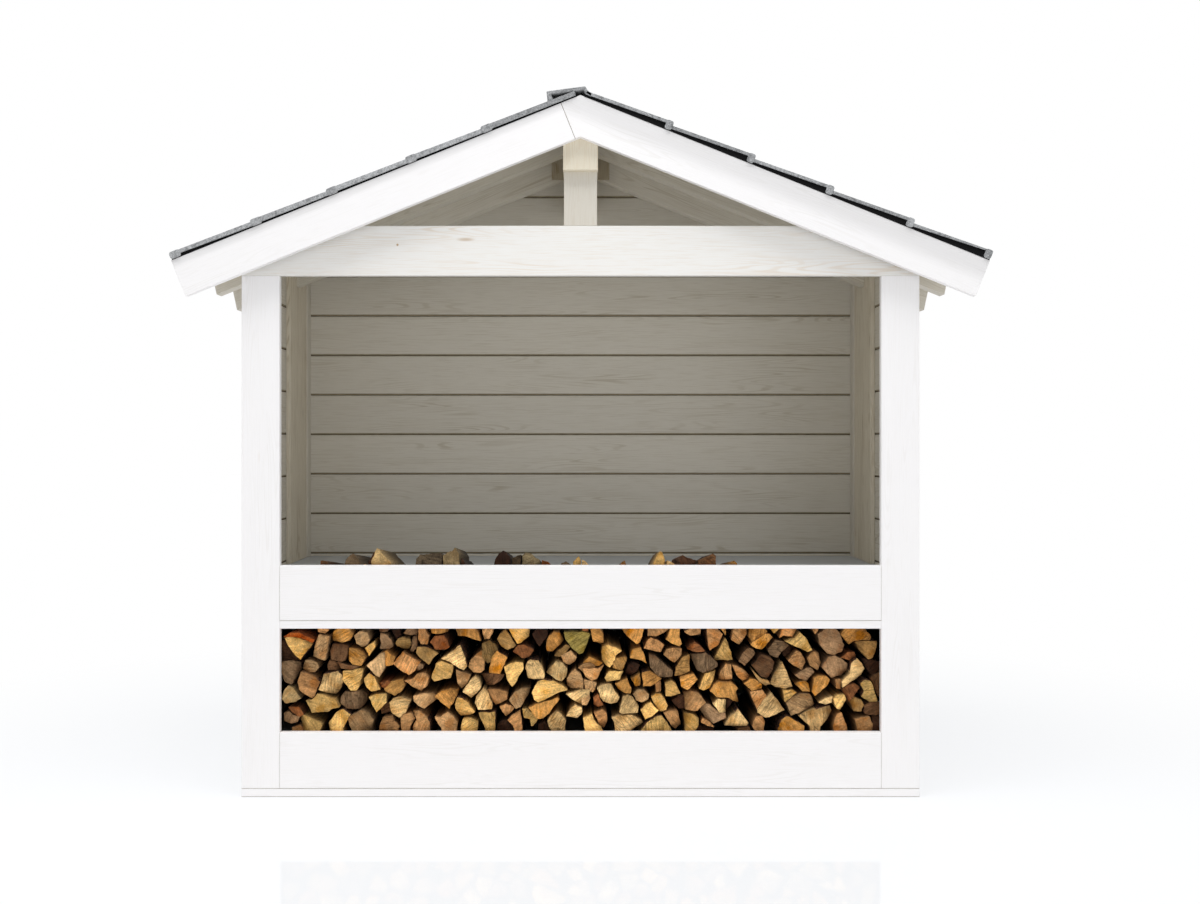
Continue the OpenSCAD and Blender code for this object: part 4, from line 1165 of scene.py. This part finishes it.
# Bark: red-brown plates some 12 mm wide with dark furrows between them
place = add(tree, "ShaderNodeTexCoord").outputs["Object"]
plates = add(tree, "ShaderNodeMapping", {"Vector": place,
             "Scale": (11 * MM, 30 * MM, 11 * MM)}, vector_type="TEXTURE").outputs[0]
furrow = add(tree, "ShaderNodeTexVoronoi", {"Vector": plates, "Scale": 1.0},
             feature="DISTANCE_TO_EDGE").outputs["Distance"]
depth = add(tree, "ShaderNodeMapRange", {"Value": furrow, "From Min": 0.0, "From Max": 0.2}
            ).outputs[0]
coat = add(tree, "ShaderNodeMix", {0: depth, 6: colour("#241811"), 7: colour("#6f4a30")},
           data_type="RGBA")
tree.links.new(coat.outputs[2], shader.inputs["Base Color"])
bump = add(tree, "ShaderNodeBump", {"Height": depth, "Strength": 0.9, "Distance": 2.0 * MM})
tree.links.new(bump.outputs[0], shader.inputs["Normal"])
print("log surfaces:", end_grain.name, split_side.name, log_bark.name)

# %% [markdown]
# ## Building a log
# A log is a skin of rings. The first four make the end: a thin rim, darker as painted shade,
# then the sawn face, which is tilted a little and not quite flat, and which on about half of
# the logs is broken off aslant at one edge. The next four carry the outline back for the
# length of the log with small changes, as no split log is a true prism. The outline itself
# gets extra points with a little noise, so its edges look torn and not cut. The alpha of
# each point's tone holds painted light and shade: the dark rim, one side of the end lighter
# than the other, the broken-off part and the sides darker the deeper they lie.


# %% Logs from their outlines
# Rings of the end: share of the way out from the centre, how far it stands back, and
# brightness, which at the rim is painted shade along the end's edge
END_RINGS = ((1.0, 0.8 * MM, 0.62), (0.98, 0.0, 0.92), (0.75, 0.0, 1.0), (0.45, 0.0, 1.0))
# Rings of the side: share of the log's length, and brightness, which is painted shade,
# darker the deeper the ring lies in the pile
SIDE_RINGS = ((0.12, 0.58), (0.45, 0.28), (0.8, 0.14), (1.0, 0.10))


def torn_outline(flat, dice):
    """The corners as a closed line with softened corners and slightly uneven edges."""
    corners = [Vector((x, z)) * MM for x, z in zip(flat[::2], flat[1::2])]
    line = []
    for i, corner in enumerate(corners):
        before, after = corners[i - 1], corners[(i + 1) % len(corners)]
        reach = min((after - corner).length, (before - corner).length) * 0.28
        soft = min(reach, dice.uniform(0.3, 0.9) * MM)
        start = corner + (before - corner).normalized() * soft
        end = corner + (after - corner).normalized() * soft
        line += [start, end]
        span = (after - corner).length
        steps = int(span / (5 * MM))
        line += [corner.lerp(after, (s + 0.5) / (steps + 0.5)) for s in range(1, steps)]
    centre = sum(line, Vector((0, 0))) / len(line)
    seed = Vector((dice.random() * 50, dice.random() * 50, 0))
    return [p + (p - centre).normalized() * MM
            * (1.3 * noise.noise(Vector((p.x, p.y, 0)) * 210 + seed)
               + 2.2 * noise.noise(Vector((p.x, p.y, 0)) * 60 + seed)) for p in line], centre


def sharpest(flat):
    """The corner with the smallest angle, in metres: the pith lies close to it."""
    corners = [Vector((x, z)) * MM for x, z in zip(flat[::2], flat[1::2])]
    best = min(range(len(corners)), key=lambda i: (corners[i - 1] - corners[i]).angle(
        corners[(i + 1) % len(corners)] - corners[i], math.pi))
    return corners[best]


def lay_logs(name, laid, front, length, droop, slot, stands_for):
    """All logs of one pile as one mesh: end faces, then sides, each in its own finish.
    droop is how much lower their far ends lie, down to the lowest corner of the pile."""
    ground = min(min(log[3::2]) for log in laid) * MM
    points, faces, picks, tones_and_shade, maps = [], [], [], [], []
    for number, (finish, back, *flat) in enumerate(laid):
        dice = random.Random(1000 + number)
        line, centre = torn_outline(flat, dice)
        n, first = len(line), len(points)
        pith = sharpest(flat)
        pith += (pith - centre).normalized() * dice.uniform(2, 14) * MM
        tilt = Vector((dice.uniform(-0.14, 0.14), dice.uniform(-0.16, 0.10)))
        rough = (1.6 if finish in ("pale", "gold") else 3.2) * MM
        seed = Vector((dice.random() * 90, dice.random() * 90, 0))
        start = front + back * MM
        reach = max((p - centre).length for p in line)
        turn = math.radians(dice.uniform(-200, 20))
        broken = Vector((math.cos(turn), math.sin(turn)))
        from_edge = reach * (dice.uniform(0.15, 0.45) if dice.random() < 0.5 else 2.0)

        def past_edge(q):
            return max(0.0, broken.dot(q - centre) - from_edge)

        def end_point(p, pull, drop):
            q = centre.lerp(p, pull)
            bulge = rough * noise.noise(Vector((q.x, q.y, 0)) * 70 + seed)
            return (q.x, start + tilt.dot(q - centre) + bulge + drop + 0.9 * past_edge(q), q.y)

        rings = [[end_point(p, pull, drop) for p in line] for pull, drop, _ in END_RINGS]
        for share, _ in SIDE_RINGS:
            far = [centre.lerp(p, 0.985 + 0.03 * noise.noise(
                   Vector((p.x, share * 9, p.y)) * 30 + seed)) for p in line]
            rings.append([(p.x, start + length * share, max(ground, p.y - droop * share))
                          for p in far])
        for ring in rings:
            points += ring
        points.append(end_point(centre, 1.0, 0))
        middle = len(points) - 1
        for i in range(n):
            j = (i + 1) % n
            faces.append((middle, first + 3 * n + i, first + 3 * n + j))
            for a, b in ((3, 2), (2, 1), (1, 0)):
                faces.append((first + a * n + i, first + b * n + i,
                              first + b * n + j, first + a * n + j))
            picks += [0, 0, 0, 0]
            out = ((line[i] + line[j]) / 2 - pith).length
            coat = 2 if out > 46 * MM and number % 3 == 0 else 1
            order = [0, 4, 5, 6, 7]
            for a, b in zip(order[:-1], order[1:]):
                faces.append((first + a * n + i, first + b * n + i,
                              first + b * n + j, first + a * n + j))
                picks.append(coat)
        faces.append(tuple(first + 7 * n + i for i in range(n)))
        picks.append(0)
        fresh = colour(LOG_TONES[finish])
        bright = dice.uniform(0.72, 1.45)
        warm = dice.uniform(-0.05, 0.05)
        own = (fresh[0] * bright * (1 + warm), fresh[1] * bright,
               fresh[2] * bright * (1 - warm))
        # Painted light and shade on a log's end: lighter on one side of its middle, darker on the
        # other, and darker still where it broke off aslant
        lit_side = Vector((dice.uniform(-0.30, 0.05), dice.uniform(-0.30, 0.02)))
        levels = [(pull, level) for pull, _, level in END_RINGS]
        for pull, level in levels + [(0, level) for _, level in SIDE_RINGS]:
            for p in line:
                q = centre.lerp(p, pull)
                fold_shade = min(0.35, 50 * past_edge(q)) if pull else 0.0
                tones_and_shade.append((*own, level * (1 + lit_side.dot(q - centre) / reach - fold_shade)))
        tones_and_shade.append((*own, 1.0))
        maps += [(p[0] - pith.x, p[2] - pith.y) for p in points[first:]]
    pile = new_piece(name, points, faces, [end_grain, split_side, log_bark], picks,
                     slot=slot, stands_for=stands_for)
    mesh = pile.data
    paint = mesh.color_attributes.new("wood_tone_and_shade", "FLOAT_COLOR", "POINT")
    paint.data.foreach_set("color", [c for own in tones_and_shade for c in own])
    flat_map = mesh.uv_layers.new(name="from_pith")
    for loop in mesh.loops:
        flat_map.data[loop.index].uv = maps[loop.vertex_index]
    mesh.shade_smooth()
    mesh.set_sharp_from_angle(angle=math.radians(38))
    return pile


# The logs are shorter than the pile is deep, so that the ones that stand back fit as well.
# On the shelf their far ends lie lower than their front ends.
SPARE, SHELF_DROOP = 40 * MM, 34 * MM
pile_low, pile_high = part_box("firewood_stack")
length = pile_high.y - pile_low.y - SPARE
stack = lay_logs("split_log_stack", STACK, pile_low.y, length, 0.0, "split_firewood",
                 ["firewood_stack"])
loose = lay_logs("split_logs_on_shelf", ON_SHELF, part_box("firewood_on_shelf")[0].y, length,
                 SHELF_DROOP, "split_firewood", ["firewood_on_shelf"])
print("faces of the stack:", len(stack.data.polygons), "of the shelf:",
      len(loose.data.polygons))

# %% [markdown]
# ## Size of the visual model
# The visual model has to stay in the imported model's box. The last line prints the visual
# model's box.

# %% Size of the visual model
bpy.context.view_layer.update()
low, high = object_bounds()
print("visual box", [round(c, 4) for c in (*low, *high)])
